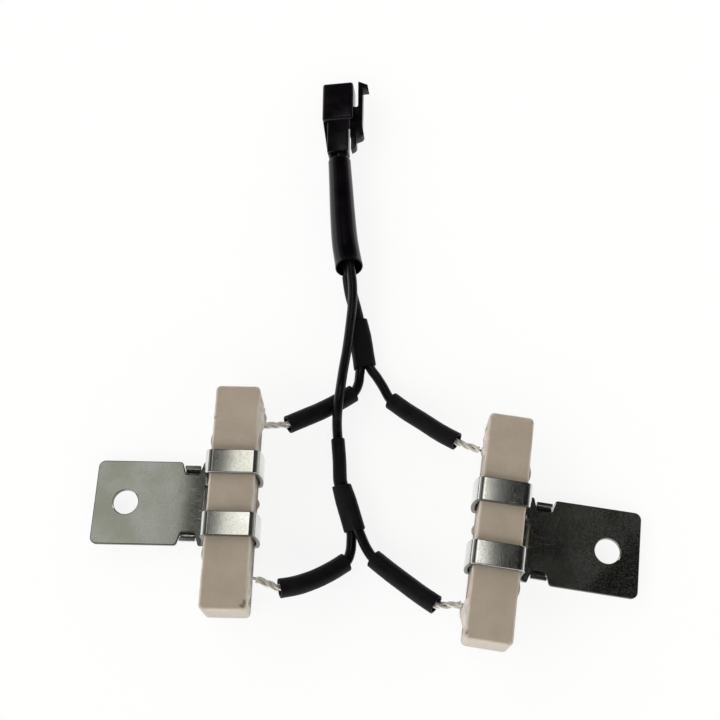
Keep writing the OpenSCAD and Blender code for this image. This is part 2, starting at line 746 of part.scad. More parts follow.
on_block(LEFT) ceramic_case();  // left_ceramic_case
on_block(LEFT) cement_fill();  // left_cement_fill
on_block(LEFT) core_rod();  // left_core_rod
on_block(LEFT) winding();  // left_winding
on_block(LEFT) end_cap(TOP);  // left_top_cap
on_block(LEFT) end_cap(BOTTOM);  // left_bottom_cap
on_block(LEFT) lead(LEFT, TOP);  // left_top_lead
on_block(LEFT) lead(LEFT, BOTTOM);  // left_bottom_lead
on_block(LEFT) bracket();  // left_bracket
on_block(RIGHT) ceramic_case();  // right_ceramic_case
on_block(RIGHT) cement_fill();  // right_cement_fill
on_block(RIGHT) core_rod();  // right_core_rod
on_block(RIGHT) winding();  // right_winding
on_block(RIGHT) end_cap(BOTTOM);  // right_top_cap
on_block(RIGHT) end_cap(TOP);  // right_bottom_cap
on_block(RIGHT) lead(RIGHT, BOTTOM);  // right_top_lead
on_block(RIGHT) lead(RIGHT, TOP);  // right_bottom_lead
on_block(RIGHT) bracket();  // right_bracket
strands(LEFT, TOP, path_left_top);  // left_top_strands
strands(LEFT, BOTTOM, path_left_bottom);  // left_bottom_strands
strands(RIGHT, BOTTOM, path_right_top);  // right_top_strands
strands(RIGHT, TOP, path_right_bottom);  // right_bottom_strands
joint_sleeve(path_left_top);  // left_top_sleeve
joint_sleeve(path_left_bottom);  // left_bottom_sleeve
joint_sleeve(path_right_top);  // right_top_sleeve
joint_sleeve(path_right_bottom);  // right_bottom_sleeve
branch_wire(path_left_top, REAR, -1);  // left_top_wire
branch_wire(path_left_bottom, FRONT, -1);  // left_bottom_wire
branch_wire(path_right_top, REAR, 1);  // right_top_wire
branch_wire(path_right_bottom, FRONT, 1);  // right_bottom_wire
splice_crimp(REAR);  // rear_splice_crimp
splice_crimp(FRONT);  // front_splice_crimp
splice_cover(REAR);  // rear_splice_cover
splice_cover(FRONT);  // front_splice_cover
splice_tube(route_feed_rear, REAR, rear_tube_first);  // rear_splice_tube
splice_tube(route_feed_front, FRONT, front_tube_first);  // front_splice_tube
feed_wire(route_feed_rear, REAR, way_x[0]);  // rear_feed_wire
feed_wire(route_feed_front, FRONT, way_x[1]);  // front_feed_wire
harness_sleeve();
plug_housing();
terminal(FRONT);  // front_terminal
terminal(REAR);  // rear_terminal
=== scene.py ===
import bmesh
import bpy
import math
from mathutils import Matrix, Vector, noise


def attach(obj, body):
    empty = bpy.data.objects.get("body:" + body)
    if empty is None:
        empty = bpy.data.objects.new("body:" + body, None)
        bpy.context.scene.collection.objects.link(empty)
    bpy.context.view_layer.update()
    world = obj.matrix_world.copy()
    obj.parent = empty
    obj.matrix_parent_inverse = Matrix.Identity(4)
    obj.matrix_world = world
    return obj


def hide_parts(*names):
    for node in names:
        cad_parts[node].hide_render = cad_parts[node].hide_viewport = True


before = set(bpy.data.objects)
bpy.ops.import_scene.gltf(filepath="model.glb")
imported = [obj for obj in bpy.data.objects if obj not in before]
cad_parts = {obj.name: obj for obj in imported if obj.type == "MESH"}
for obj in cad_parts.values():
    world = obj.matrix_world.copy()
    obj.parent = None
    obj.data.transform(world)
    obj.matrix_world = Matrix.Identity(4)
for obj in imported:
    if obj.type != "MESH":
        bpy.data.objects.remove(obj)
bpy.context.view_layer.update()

# Ceramic cases: two pressed and fired blocks in cream-grey ceramic, each a trough that is open towards the harness.
# Two low stops on the bracket side and a pip on the lower rim are pressed in one piece with the block, and its edges
# are rounded, with a few small chips. Sizes are in millimetres from the middle of the block, as on its drawing.
MM = 0.001
BLOCK_PLACE = {"left": (-37.1, 1.0, 3.9), "right": (37.1, -1.0, 176.1)}
CASE_L, CASE_W, CASE_H, CASE_FOOT = 63.5, 12.7, 12.7, 1.2
CASE_MID, CASE_TOP = CASE_FOOT + CASE_H / 2, CASE_FOOT + CASE_H
CASE_EDGE_R, CASE_CORNER_R, RIM_R = 0.8, 1.4, 0.3
STEP_X, STEP_Y, STEP_Z = 0.9, 0.6, 0.8
EDGE_INSETS = (0.13, 0.265, 0.47, 0.64, 0.8, 1.1, 1.4)
TROUGH_HALF_L = CASE_L / 2 - 2.6
TROUGH_LOW, TROUGH_HIGH = CASE_FOOT + 1.8, CASE_TOP - 1.8
TROUGH_BACK = -CASE_W / 2 + 2.4
STOP_Y, STOP_L, STOP_PROUD, STOP_HALF_H, STOP_STEP = 16.1, 5.8, 0.75, CASE_H / 4, 0.2
PIP_L, PIP_PROUD = 3.0, 0.6


def block_matrix(side):
    x, y, turn = BLOCK_PLACE[side]
    place = Matrix.Translation((x * MM, y * MM, 0)) @ Matrix.Rotation(math.radians(turn), 4, "Z")
    return place @ Matrix.Scale(MM, 4)


def put(name, data):
    thing = bpy.data.objects.new(name, data)
    bpy.context.scene.collection.objects.link(thing)
    return thing


def finished(name, mesh, material, nodes, sharp=40):
    piece = put(name, mesh)
    if material.name not in mesh.materials:
        mesh.materials.append(material)
    mesh.polygons.foreach_set("use_smooth", [True] * len(mesh.polygons))
    mesh.set_sharp_from_angle(angle=math.radians(sharp))
    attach(piece, "root")
    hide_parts(*nodes)
    return piece


def grid_marks(low, high, step, *kept):
    kept = sorted({low, high, *kept})
    lines = []
    for a, b in zip(kept, kept[1:]):
        count = max(1, round((b - a) / step))
        lines += [a + (b - a) * i / count for i in range(count)]
    return lines + [high]


def edge_marks(low, high):
    return [low + i for i in EDGE_INSETS] + [high - i for i in EDGE_INSETS]


def case_surface(x, y, z):
    """Rounds a point of a square block: first the long and end edges, then the upright corners."""
    half_w, half_l = CASE_W / 2, CASE_L / 2
    inset = min(half_w - abs(x), half_l - abs(y))
    below = min(z - CASE_FOOT, CASE_TOP - z)
    # How far a point lies on the rounding. This sets the lighter edge colour, which is partly rubbed wear and partly a
    # painted highlight.
    worn_lit_share = 0.0
    if inset < CASE_EDGE_R and below < CASE_EDGE_R:
        away = Vector((CASE_EDGE_R - inset, CASE_EDGE_R - below)).normalized() * CASE_EDGE_R
        worn_lit_share = min(1.0, 1.6 * min(away) / CASE_EDGE_R)
        inset, below = CASE_EDGE_R - away.x, CASE_EDGE_R - away.y
        x = math.copysign(min(abs(x), half_w - inset), x)
        y = math.copysign(min(abs(y), half_l - inset), y)
        z = CASE_FOOT + below if z < CASE_MID else CASE_TOP - below
    r = max(CASE_CORNER_R - inset, 0.0)
    over = Vector((abs(x) - (half_w - inset - r), abs(y) - (half_l - inset - r)))
    if r > 0 and over.x > 0 and over.y > 0:
        arc = over.normalized() * r
        worn_lit_share = max(worn_lit_share, min(1.0, 1.2 * min(arc) / r) * (1 if below < 2 else 0.6))
        x = math.copysign(half_w - inset - r + arc.x, x)
        y = math.copysign(half_l - inset - r + arc.y, y)
    return Vector((x, y, z)), worn_lit_share


def lens(offset, length, proud):
    t = 2 * offset / length
    return proud * (1 - t * t) if abs(t) < 1 else 0.0


def closed_mesh(bm, name, mesh=None):
    """Turns a bmesh into a mesh with its faces outward; the mesh may be one that exists."""
    bmesh.ops.recalc_face_normals(bm, faces=bm.faces)
    mesh = mesh or bpy.data.meshes.new(name)
    bm.to_mesh(mesh)
    bm.free()
    return mesh


def case_mesh(name, chips):
    half_w, half_l = CASE_W / 2, CASE_L / 2
    xs = grid_marks(-half_w, half_w, STEP_X, *edge_marks(-half_w, half_w))
    ys = grid_marks(-half_l, half_l, STEP_Y, *edge_marks(-half_l, half_l), -TROUGH_HALF_L, TROUGH_HALF_L)
    zs = grid_marks(CASE_FOOT, CASE_TOP, STEP_Z, *edge_marks(CASE_FOOT, CASE_TOP), TROUGH_LOW, TROUGH_HIGH,
                    CASE_MID - STOP_HALF_H, CASE_MID - STOP_HALF_H - STOP_STEP,
                    CASE_MID + STOP_HALF_H, CASE_MID + STOP_HALF_H + STOP_STEP)
    bm = bmesh.new()
    # Per point: the share of the lighter edge colour (rubbed wear and painted highlight), and the share of the chip
    # colour.
    worn_lit_layer = bm.verts.layers.float.new("edge_wear_and_highlight")
    chipped = bm.verts.layers.float.new("chip")
    made = {}

    def vert(i, j, k):
        if (i, j, k) not in made:
            x, y, z = xs[i], ys[j], zs[k]
            at, worn_lit_share = case_surface(x, y, z)
            if i == 0 and abs(z - CASE_MID) <= STOP_HALF_H + 0.01:
                at.x -= lens(abs(y) - STOP_Y, STOP_L, STOP_PROUD)
            if i == len(xs) - 1 and CASE_FOOT + 0.75 < z < TROUGH_LOW - 0.1:
                at.x += lens(y, PIP_L, PIP_PROUD)
            made[i, j, k] = bm.verts.new(at)
            made[i, j, k][worn_lit_layer] = worn_lit_share
        return made[i, j, k]

    def quad(*corners):
        return bm.faces.new([vert(*corner) for corner in corners])

    nx, ny, nz = len(xs) - 1, len(ys) - 1, len(zs) - 1
    trough = []
    for j in range(ny):
        for k in range(nz):
            quad((0, j, k), (0, j, k + 1), (0, j + 1, k + 1), (0, j + 1, k))
            face = quad((nx, j, k), (nx, j + 1, k), (nx, j + 1, k + 1), (nx, j, k + 1))
            y, z = (ys[j] + ys[j + 1]) / 2, (zs[k] + zs[k + 1]) / 2
            if abs(y) < TROUGH_HALF_L and TROUGH_LOW < z < TROUGH_HIGH:
                trough.append(face)
    for i in range(nx):
        for k in range(nz):
            quad((i, 0, k), (i + 1, 0, k), (i + 1, 0, k + 1), (i, 0, k + 1))
            quad((i, ny, k), (i, ny, k + 1), (i + 1, ny, k + 1), (i + 1, ny, k))
        for j in range(ny):
            quad((i, j, 0), (i, j + 1, 0), (i + 1, j + 1, 0), (i + 1, j, 0))
            quad((i, j, nz), (i + 1, j, nz), (i + 1, j + 1, nz), (i, j + 1, nz))
    bm.normal_update()
    for x, y, z, reach, depth in chips:
        centre = Vector((x, y, z))
        for v in bm.verts:
            d = (v.co - centre).length * (1 + 0.35 * noise.noise(v.co * 2.3))
            if d < reach:
                cut = 1 - (d / reach) ** 2
                v.co -= v.normal * depth * min(1.0, 1.8 * cut) * (0.75 + 0.4 * noise.noise(v.co * 3.1))
                v[chipped] = max(v[chipped], min(1.0, 2.2 * cut))
    dug = bmesh.ops.extrude_face_region(bm, geom=trough)["geom"]
    bmesh.ops.delete(bm, geom=[f for f in trough if f.is_valid], context="FACES_ONLY")
    for v in (g for g in dug if isinstance(g, bmesh.types.BMVert)):
        v.co.x = TROUGH_BACK
    bm.normal_update()
    rim = [e for e in bm.edges if all(abs(v.co.x - half_w) < 0.02 for v in e.verts)
           and len(e.link_faces) == 2 and e.calc_face_angle(0) > 1.2]
    bmesh.ops.bevel(bm, geom=rim, offset=RIM_R, segments=3, affect="EDGES", profile=0.5)
    return closed_mesh(bm, name)


def link(output, socket):
    output.id_data.links.new(output, socket)


def shader(name):
    material = bpy.data.materials.new(name)
    material.use_nodes = True
    return material, material.node_tree.nodes["Principled BSDF"]


def new_group(name, inputs, outputs):
    """A shader node group with float or vector inputs (name, default) and named float outputs."""
    group = bpy.data.node_groups.new(name, "ShaderNodeTree")
    for label, value in inputs:
        kind = "NodeSocketVector" if value is None else "NodeSocketFloat"
        socket = group.interface.new_socket(name=label, in_out="INPUT", socket_type=kind)
        if value is not None:
            socket.default_value = value
    for label in outputs:
        group.interface.new_socket(name=label, in_out="OUTPUT", socket_type="NodeSocketFloat")
    return group, group.nodes.new("NodeGroupInput").outputs, group.nodes.new("NodeGroupOutput").inputs


def ranged(value, low, high, to_low=0.0, to_high=1.0):
    node = value.id_data.nodes.new("ShaderNodeMapRange")
    node.interpolation_type = "SMOOTHSTEP"
    for socket, number in zip(node.inputs[1:5], (low, high, to_low, to_high)):
        socket.default_value = number
    link(value, node.inputs[0])
    return node.outputs[0]


def calc(operation, a, b=0.0):
    """One step of arithmetic; each value may be a number or the output of a node, and one is an output."""
    node = (b if isinstance(a, float) else a).id_data.nodes.new("ShaderNodeMath")
    node.operation = operation
    for socket, value in zip(node.inputs, (a, b)):
        if isinstance(value, float):
            socket.default_value = value
        else:
            link(value, socket)
    return node.outputs[0]


def tinted(factor, first, second):
    """A mix of two colours; each may be a colour or the output of another node."""
    node = factor.id_data.nodes.new("ShaderNodeMix")
    node.data_type = "RGBA"
    link(factor, node.inputs[0])
    for socket, colour in zip((node.inputs[6], node.inputs[7]), (first, second)):
        if isinstance(colour, tuple):
            socket.default_value = (*colour, 1)
        else:
            link(colour, socket)
    return node.outputs[2]


def preset(node, **values):
    for label, value in values.items():
        node.inputs[label].default_value = value
    return node


def object_coords(bsdf):
    return bsdf.id_data.nodes.new("ShaderNodeTexCoord").outputs["Object"]


def attribute(bsdf, name):
    node = bsdf.id_data.nodes.new("ShaderNodeAttribute")
    node.attribute_name = name
    return node.outputs["Fac"]


def grouped(group, vector, **values):
    node = vector.id_data.nodes.new("ShaderNodeGroup")
    node.node_tree = group
    link(vector, node.inputs["Vector"])
    return preset(node, **values).outputs


def bumped(bsdf, height, strength, distance):
    bump = preset(bsdf.id_data.nodes.new("ShaderNodeBump"), Strength=strength, Distance=distance * MM)
    link(height, bump.inputs["Height"])
    link(bump.outputs[0], bsdf.inputs["Normal"])


def cloud(vector, **values):
    node = preset(vector.id_data.nodes.new("ShaderNodeTexNoise"), **values)
    link(vector, node.inputs["Vector"])
    return node


# Grain shared by the fired, moulded and plated surfaces: slow changes of tone over a fine grit
surface_grain, given, made = new_group(
    "surface_grain", [("Vector", None), ("Broad", 120.0), ("Fine", 2400.0)], ["Tone", "Grit"])
for label, output, detail in (("Broad", "Tone", 3.0), ("Fine", "Grit", 4.0)):
    spots = cloud(given["Vector"], Detail=detail)
    link(given[label], spots.inputs["Scale"])
    link(ranged(spots.outputs[0], 0.3, 0.7), made[output])

CERAMIC_DEEP, CERAMIC_PALE, CERAMIC_SPECK = (0.366, 0.303, 0.240), (0.406, 0.342, 0.276), (0.29, 0.23, 0.175)
CERAMIC_RUBBED_LIT_EDGE, CERAMIC_CHIP = (0.54, 0.48, 0.41), (0.15, 0.09, 0.055)
fired_ceramic, bsdf = shader("fired_ceramic")
grain = grouped(surface_grain, object_coords(bsdf), Broad=140.0, Fine=3200.0)
body = tinted(grain["Tone"], CERAMIC_DEEP, CERAMIC_PALE)
body = tinted(ranged(grain["Grit"], 0.78, 0.95, 0.0, 0.35), body, CERAMIC_SPECK)
# Lighter colour on the rounded edges and corners: partly rubbed wear, partly a painted highlight along the edges.
rubbed_and_lit = calc("MULTIPLY", attribute(bsdf, "edge_wear_and_highlight"), ranged(grain["Tone"], 0.0, 1.0, 0.35, 0.9))
body = tinted(rubbed_and_lit, body, CERAMIC_RUBBED_LIT_EDGE)
broken = calc("MULTIPLY", attribute(bsdf, "chip"), ranged(grain["Grit"], 0.2, 0.8, 0.45, 1.0))
link(tinted(broken, body, CERAMIC_CHIP), bsdf.inputs["Base Color"])
link(ranged(grain["Grit"], 0.0, 1.0, 0.28, 0.40), bsdf.inputs["Roughness"])
bsdf.inputs["Specular IOR Level"].default_value = 0.7
bumped(bsdf, grain["Grit"], 0.12, 0.06)

# Chips on the edges, in the block's own millimetres: place, reach and depth
CHIPS = {
    "left": [(5.5, -30.4, 13.8, 0.65, 0.3), (5.8, -29.5, 13.75, 0.6, 0.25), (-6.2, 22.0, 13.7, 0.6, 0.2)],
    "right": [(6.1, 29.9, 13.6, 0.7, 0.3), (-6.0, -30.6, 13.5, 0.7, 0.25), (6.2, 12.0, 13.8, 0.6, 0.15)]}
for side in BLOCK_PLACE:
    mesh = case_mesh(f"{side}_case", CHIPS[side])
    mesh.transform(block_matrix(side))
    finished(f"{side}_case", mesh, fired_ceramic, [f"{side}_ceramic_case"], 50)

# Resistance elements: an alumina rod with resistance wire wound on it and a pressed steel cap on each end.
# They lie in the middle of the cement, where nothing of them shows, so the solids stay and only get their finish.
def plain_finish(name, broad, fine, deep, pale, rough, metal=0.0, sheen=0.5, bump=None):
    """Two tones over the shared grain, one roughness or a range of it, and a bump (grain output, strength, depth)."""
    material, bsdf = shader(name)
    grain = grouped(surface_grain, object_coords(bsdf), Broad=broad, Fine=fine)
    link(tinted(grain["Tone"], deep, pale), bsdf.inputs["Base Color"])
    if isinstance(rough, tuple):
        link(ranged(grain["Tone"], 0.0, 1.0, *rough), bsdf.inputs["Roughness"])
    else:
        bsdf.inputs["Roughness"].default_value = rough
    preset(bsdf, **{"Metallic": metal, "Specular IOR Level": sheen})
    if bump:
        bumped(bsdf, grain[bump[0]], *bump[1:])
    return material


alumina = plain_finish("alumina", 200.0, 3000.0, (0.78, 0.76, 0.72), (0.86, 0.84, 0.80), 0.6)
resistance_wire = plain_finish("resistance_wire", 300.0, 4000.0, (0.42, 0.32, 0.22), (0.52, 0.42, 0.30), 0.4, metal=1.0)
tinned = plain_finish("tinned", 900.0, 6000.0, (0.80, 0.78, 0.74), (0.93, 0.92, 0.90), (0.18, 0.34), metal=1.0,
                      bump=("Grit", 0.2, 0.04))


def refinish(node, material):
    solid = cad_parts[node]
    solid.data.materials.clear()
    solid.data.materials.append(material)


for side in BLOCK_PLACE:
    refinish(f"{side}_core_rod", alumina)
    refinish(f"{side}_winding", resistance_wire)
    for end in ("top", "bottom"):
        refinish(f"{side}_{end}_cap", tinned)

# Leads: tinned round wire from each cap, out through the cement and bent a little towards the harness.
# Each is one swept tube, made by the tree that also makes the wires and the sleeves.
CORE_X, KNEE_X, LEAD_R, LEAD_BEND_R, LEAD_OUT, LEAD_HALF_PITCH = 0.95, 7.25, 0.45, 1.5, 6.9, 22.0
CAP_R, KNEE_RUN, KNEE_STEPS = 2.9, 1.2, 6
LEADS = {("left", "top"): (1, 3), ("left", "bottom"): (-1, -21),
         ("right", "top"): (-1, -13), ("right", "bottom"): (1, 10)}


def lead_line(side, end):
    """Points of a lead in the shared frame, in metres: cap, knee, and straight outer part."""
    way, swing = LEADS[side, end]
    y, turn = way * LEAD_HALF_PITCH, math.radians(swing)
    line = [Vector((CORE_X + CAP_R, y, CASE_MID)), Vector((KNEE_X - KNEE_RUN, y, CASE_MID))]
    for k in range(KNEE_STEPS + 1):
        a = turn * k / KNEE_STEPS
        line.append(Vector((KNEE_X + LEAD_BEND_R * math.sin(abs(a)),
                            y + math.copysign(LEAD_BEND_R * (1 - math.cos(a)), turn), CASE_MID)))
    line.append(line[-1] + LEAD_OUT * Vector((math.cos(turn), math.sin(turn), 0)))
    return [block_matrix(side) @ p for p in line]


def geometry_tree(name, *inputs):
    """A new geometry node tree with inputs (name, kind, default) between its geometry and its material."""
    tree = bpy.data.node_groups.new(name, "GeometryNodeTree")
    for label, kind, value in (("Geometry", "Geometry", None), *inputs, ("Material", "Material", None)):
        socket = tree.interface.new_socket(name=label, in_out="INPUT", socket_type=f"NodeSocket{kind}")
        if value is not None:
            socket.default_value = value
    tree.interface.new_socket(name="Geometry", in_out="OUTPUT", socket_type="NodeSocketGeometry")
    return tree, tree.nodes.new, tree.nodes.new("NodeGroupInput").outputs


def swept(add, given, line, radius):
    """Sweeps a circle along a line and ends the tree with its material on the result."""
    circle, sweep = add("GeometryNodeCurvePrimitiveCircle"), add("GeometryNodeCurveToMesh")
    realize, dress = add("GeometryNodeRealizeInstances"), add("GeometryNodeSetMaterial")
    link(line, sweep.inputs["Curve"])
    link(given[radius], circle.inputs["Radius"])
    link(circle.outputs["Curve"], sweep.inputs["Profile Curve"])
    link(sweep.outputs[0], realize.inputs[0])
    link(realize.outputs[0], dress.inputs["Geometry"])
    link(given["Material"], dress.inputs["Material"])
    link(dress.outputs[0], add("NodeGroupOutput").inputs[0])
    return circle, sweep


def tube_tree():
    """Geometry nodes: a line of edges becomes a tube whose radius is Radius times the line's own girth."""
    tree, add, given = geometry_tree("tube_along_line", ("Radius", "Float", 0.001), ("Sides", "Int", 16),
                                     ("Closed Ends", "Bool", True))
    to_curve, girth = add("GeometryNodeMeshToCurve"), add("GeometryNodeInputNamedAttribute")
    girth.inputs["Name"].default_value = "girth"
    link(given["Geometry"], to_curve.inputs["Mesh"])
    circle, sweep = swept(add, given, to_curve.outputs[0], "Radius")
    link(given["Sides"], circle.inputs["Resolution"])
    link(girth.outputs["Attribute"], sweep.inputs["Scale"])
    link(given["Closed Ends"], sweep.inputs["Fill Caps"])
    return tree


def applied(carrier, name):
    """The mesh that an object's modifiers make; the object itself goes."""
    depsgraph = bpy.context.evaluated_depsgraph_get()
    mesh = bpy.data.meshes.new_from_object(carrier.evaluated_get(depsgraph))
    mesh.name = name
    bpy.data.objects.remove(carrier)
    return mesh


def grown(name, points, tree, values, girths=None, wall=0.0, lip=0.0):
    """Runs a tree on a line of points; wall turns an open tube into a sleeve and lip rounds its cut ends."""
    line = bpy.data.meshes.new(name)
    line.from_pydata(points, [(i, i + 1) for i in range(len(points) - 1)], [])
    thick = line.attributes.new("girth", "FLOAT", "POINT")
    thick.data.foreach_set("value", girths or [1.0] * len(points))
    carrier = put(name, line)
    modifier = carrier.modifiers.new("Tree", "NODES")
    modifier.node_group = tree
    for item in tree.interface.items_tree:
        if item.in_out == "INPUT" and item.name in values:
            modifier[item.identifier] = values[item.name]
    if wall:
        hollow = carrier.modifiers.new("Wall", "SOLIDIFY")
        hollow.thickness, hollow.offset = wall * MM, -1
        round_lip = carrier.modifiers.new("Lip", "BEVEL")
        round_lip.width, round_lip.segments, round_lip.limit_method = lip * MM, 2, "ANGLE"
        round_lip.angle_limit = math.radians(50)
    mesh = applied(carrier, name)
    bm = bmesh.new()
    bm.from_mesh(mesh)
    return closed_mesh(bm, name, mesh)


tube_along_line = tube_tree()


def tube(name, line, r, sides, material, node, sharp=40, wall=0.0, lip=0.0, girths=None):
    values = {"Radius": r * MM, "Sides": sides, "Closed Ends": not wall, "Material": material}
    mesh = grown(name, line, tube_along_line, values, girths, wall, lip)
    return finished(name, mesh, material, [node], sharp)


for side, end in LEADS:
    tube(f"{side}_{end}_lead_wire", lead_line(side, end), LEAD_R, 16, tinned, f"{side}_{end}_lead")

# Cement: pale mineral filling, poured into the trough round the element and left a little below the rim.
# It is heaped beside each lead on the side of the block's end, sinks in where the lead comes out, and dries rough.
FILL_FACE = CASE_W / 2 - 0.5
HEAP_SHIFT, HEAP_R = 2.0, 5.0
HEAPS = {("left", 1): 1.9, ("left", -1): 0.8, ("right", 1): 1.7, ("right", -1): 1.2}
CEMENT_ROUGH, CREEP, CREEP_RUN, DIMPLE, DIMPLE_R = 0.16, 0.22, 0.5, 0.75, 0.9
CEMENT_STEP = 0.4
cement = plain_finish("cement", 420.0, 3600.0, (0.46, 0.425, 0.38), (0.58, 0.55, 0.51), 0.85, sheen=0.25,
                      bump=("Grit", 0.35, 0.12))


def skinned(bm, ring, other, closed=True):
    """A band of faces between two rows of as many points."""
    for i in range(len(ring) if closed else len(ring) - 1):
        n = (i + 1) % len(ring)
        bm.faces.new([ring[i], ring[n], other[n], other[i]])


def cement_level(side, y, z):
    seed = 3.0 if side == "left" else 8.0
    rough = noise.fractal(Vector((y * 0.35, z * 0.35, seed)), 1.0, 2.0, 4)
    level = FILL_FACE + CEMENT_ROUGH * rough
    edge = min(TROUGH_HALF_L - abs(y), z - TROUGH_LOW, TROUGH_HIGH - z)
    level += CREEP * math.exp(-edge / CREEP_RUN)
    for way in (-1, 1):
        d = math.hypot(y - way * (LEAD_HALF_PITCH + HEAP_SHIFT), 0.85 * (z - CASE_MID))
        level += HEAPS[side, way] * max(0.0, 1 - (d / HEAP_R) ** 2) * (1 + 0.35 * rough)
        hole = math.hypot(y - way * LEAD_HALF_PITCH, z - CASE_MID)
        level -= DIMPLE * math.exp(-(hole / DIMPLE_R) ** 2)
    return level if edge > 0.01 else min(level, CASE_W / 2 - 0.15)


for side in BLOCK_PLACE:
    ys = grid_marks(-TROUGH_HALF_L, TROUGH_HALF_L, CEMENT_STEP)
    zs = grid_marks(TROUGH_LOW, TROUGH_HIGH, CEMENT_STEP)
    bm = bmesh.new()
    front = [[bm.verts.new((cement_level(side, y, z), y, z)) for z in zs] for y in ys]
    for row, nxt in zip(front, front[1:]):
        skinned(bm, row, nxt, closed=False)
    rim = [row[0] for row in front] + front[-1][1:] + [row[-1] for row in front[-2::-1]] + front[0][-2:0:-1]
    back = [bm.verts.new((TROUGH_BACK, v.co.y, v.co.z)) for v in rim]
    skinned(bm, rim, back)
    bm.faces.new(back)
    mesh = closed_mesh(bm, f"{side}_cement")
    mesh.transform(block_matrix(side))
    finished(f"{side}_cement", mesh, cement, [f"{side}_cement_fill"], 50)

# Brackets: one blank of zinc-plated steel sheet each, folded round the block. From the drilled tab two straps rise,
# cross the block and bow down its open side, and the base comes back under the tab as a tongue with two locking lugs.
SHEET_T, BRACKET_HALF_W, SLOT_HALF_W = 1.2, 12.2, 5.4
TAB_Z, TAB_BEND_X, TAB_REACH, HOLE_REACH, HOLE_R = 1.9, 8.65, 40.2, 31.3, 3.5
BEND_MID_R, LEG, ACROSS, BOW, BOW_MID_R = 1.6, 9.5, 10.9, 12.0, 27.57
BEND_FLAT = 0.15
NECK_HALF_W, NOTCH_NEAR, NOTCH_DEEP, NOTCH_FLARE = 8.5, 10.9, 14.8, 1.15
TONGUE_HALF_W, TONGUE_REACH, LUG_TOP, LUG_BEND_R = 9.1, 15.55, 2.8, 1.4
LUG_MARKS = (10.55, 12.1, 13.6, 15.15)
NOTCH_R, NOTCH_CORNER_R, TAB_CORNER_R, CUT_EDGE_R = 0.5, 1.0, 2.0, 0.28
# The first number is the share of the dark cut-edge colour that the lugs keep, so their tops stay light; that colour is
# partly bare steel and partly painted shade.
LUG_SHADE_SHARE, HOLE_SIDES = 0.25, 72


def rounded_outline(corners, step=9):
    """Outline through corners (x, y, radius), with an arc at each corner that has a radius."""
    out = []
    for i, (x, y, r) in enumerate(corners):
        at = Vector((x, y))
        if not r:
            out.append(at)
            continue
        a = (Vector(corners[i - 1][:2]) - at).normalized()
        b = (Vector(corners[(i + 1) % len(corners)][:2]) - at).normalized()
        half = a.angle(b) / 2
        centre = at + (a + b).normalized() * r / math.sin(half)
        first, last = at + a * r / math.tan(half) - centre, at + b * r / math.tan(half) - centre
        start = math.atan2(first.y, first.x)
        sweep = (math.atan2(last.y, last.x) - start + 3 * math.pi) % math.tau - math.pi
        count = max(2, math.ceil(abs(math.degrees(sweep)) / step))
        out += [centre + r * Vector((math.cos(start + sweep * k / count), math.sin(start + sweep * k / count)))
                for k in range(count + 1)]
    return out


def strap_rows():
    """The middle of the sheet along one strap, from the tab to the base, as (x, z) points."""
    x, z, heading = -TAB_BEND_X - BEND_FLAT, TAB_Z, 0.0
    rows = [(x, z)]
    for run, turn, r in ((BEND_FLAT, 90, BEND_MID_R), (LEG, -90, BEND_MID_R), (ACROSS, BOW - 90, BEND_MID_R),
                         (0, -2 * BOW, BOW_MID_R), (0, BOW - 90, BEND_MID_R), (BEND_FLAT, 0, 0)):
        near = [run] if run else []
        if run > 1:
            near = [BEND_FLAT, *(run * k / 8 for k in range(1, 8)), run - BEND_FLAT, run]
        rows += [(x + u * math.cos(heading), z + u * math.sin(heading)) for u in near]
        x, z = x + run * math.cos(heading), z + run * math.sin(heading)
        way = math.copysign(1, turn)
        cx, cz = x - way * r * math.sin(heading), z + way * r * math.cos(heading)
        count = max(4, round(abs(turn) / 6)) if turn else 0
        for k in range(1, count + 1):
            a = heading + math.radians(turn) * k / count
            rows.append((cx + way * r * math.sin(a), cz - way * r * math.cos(a)))
        heading += math.radians(turn)
        x, z = rows[-1]
    return rows


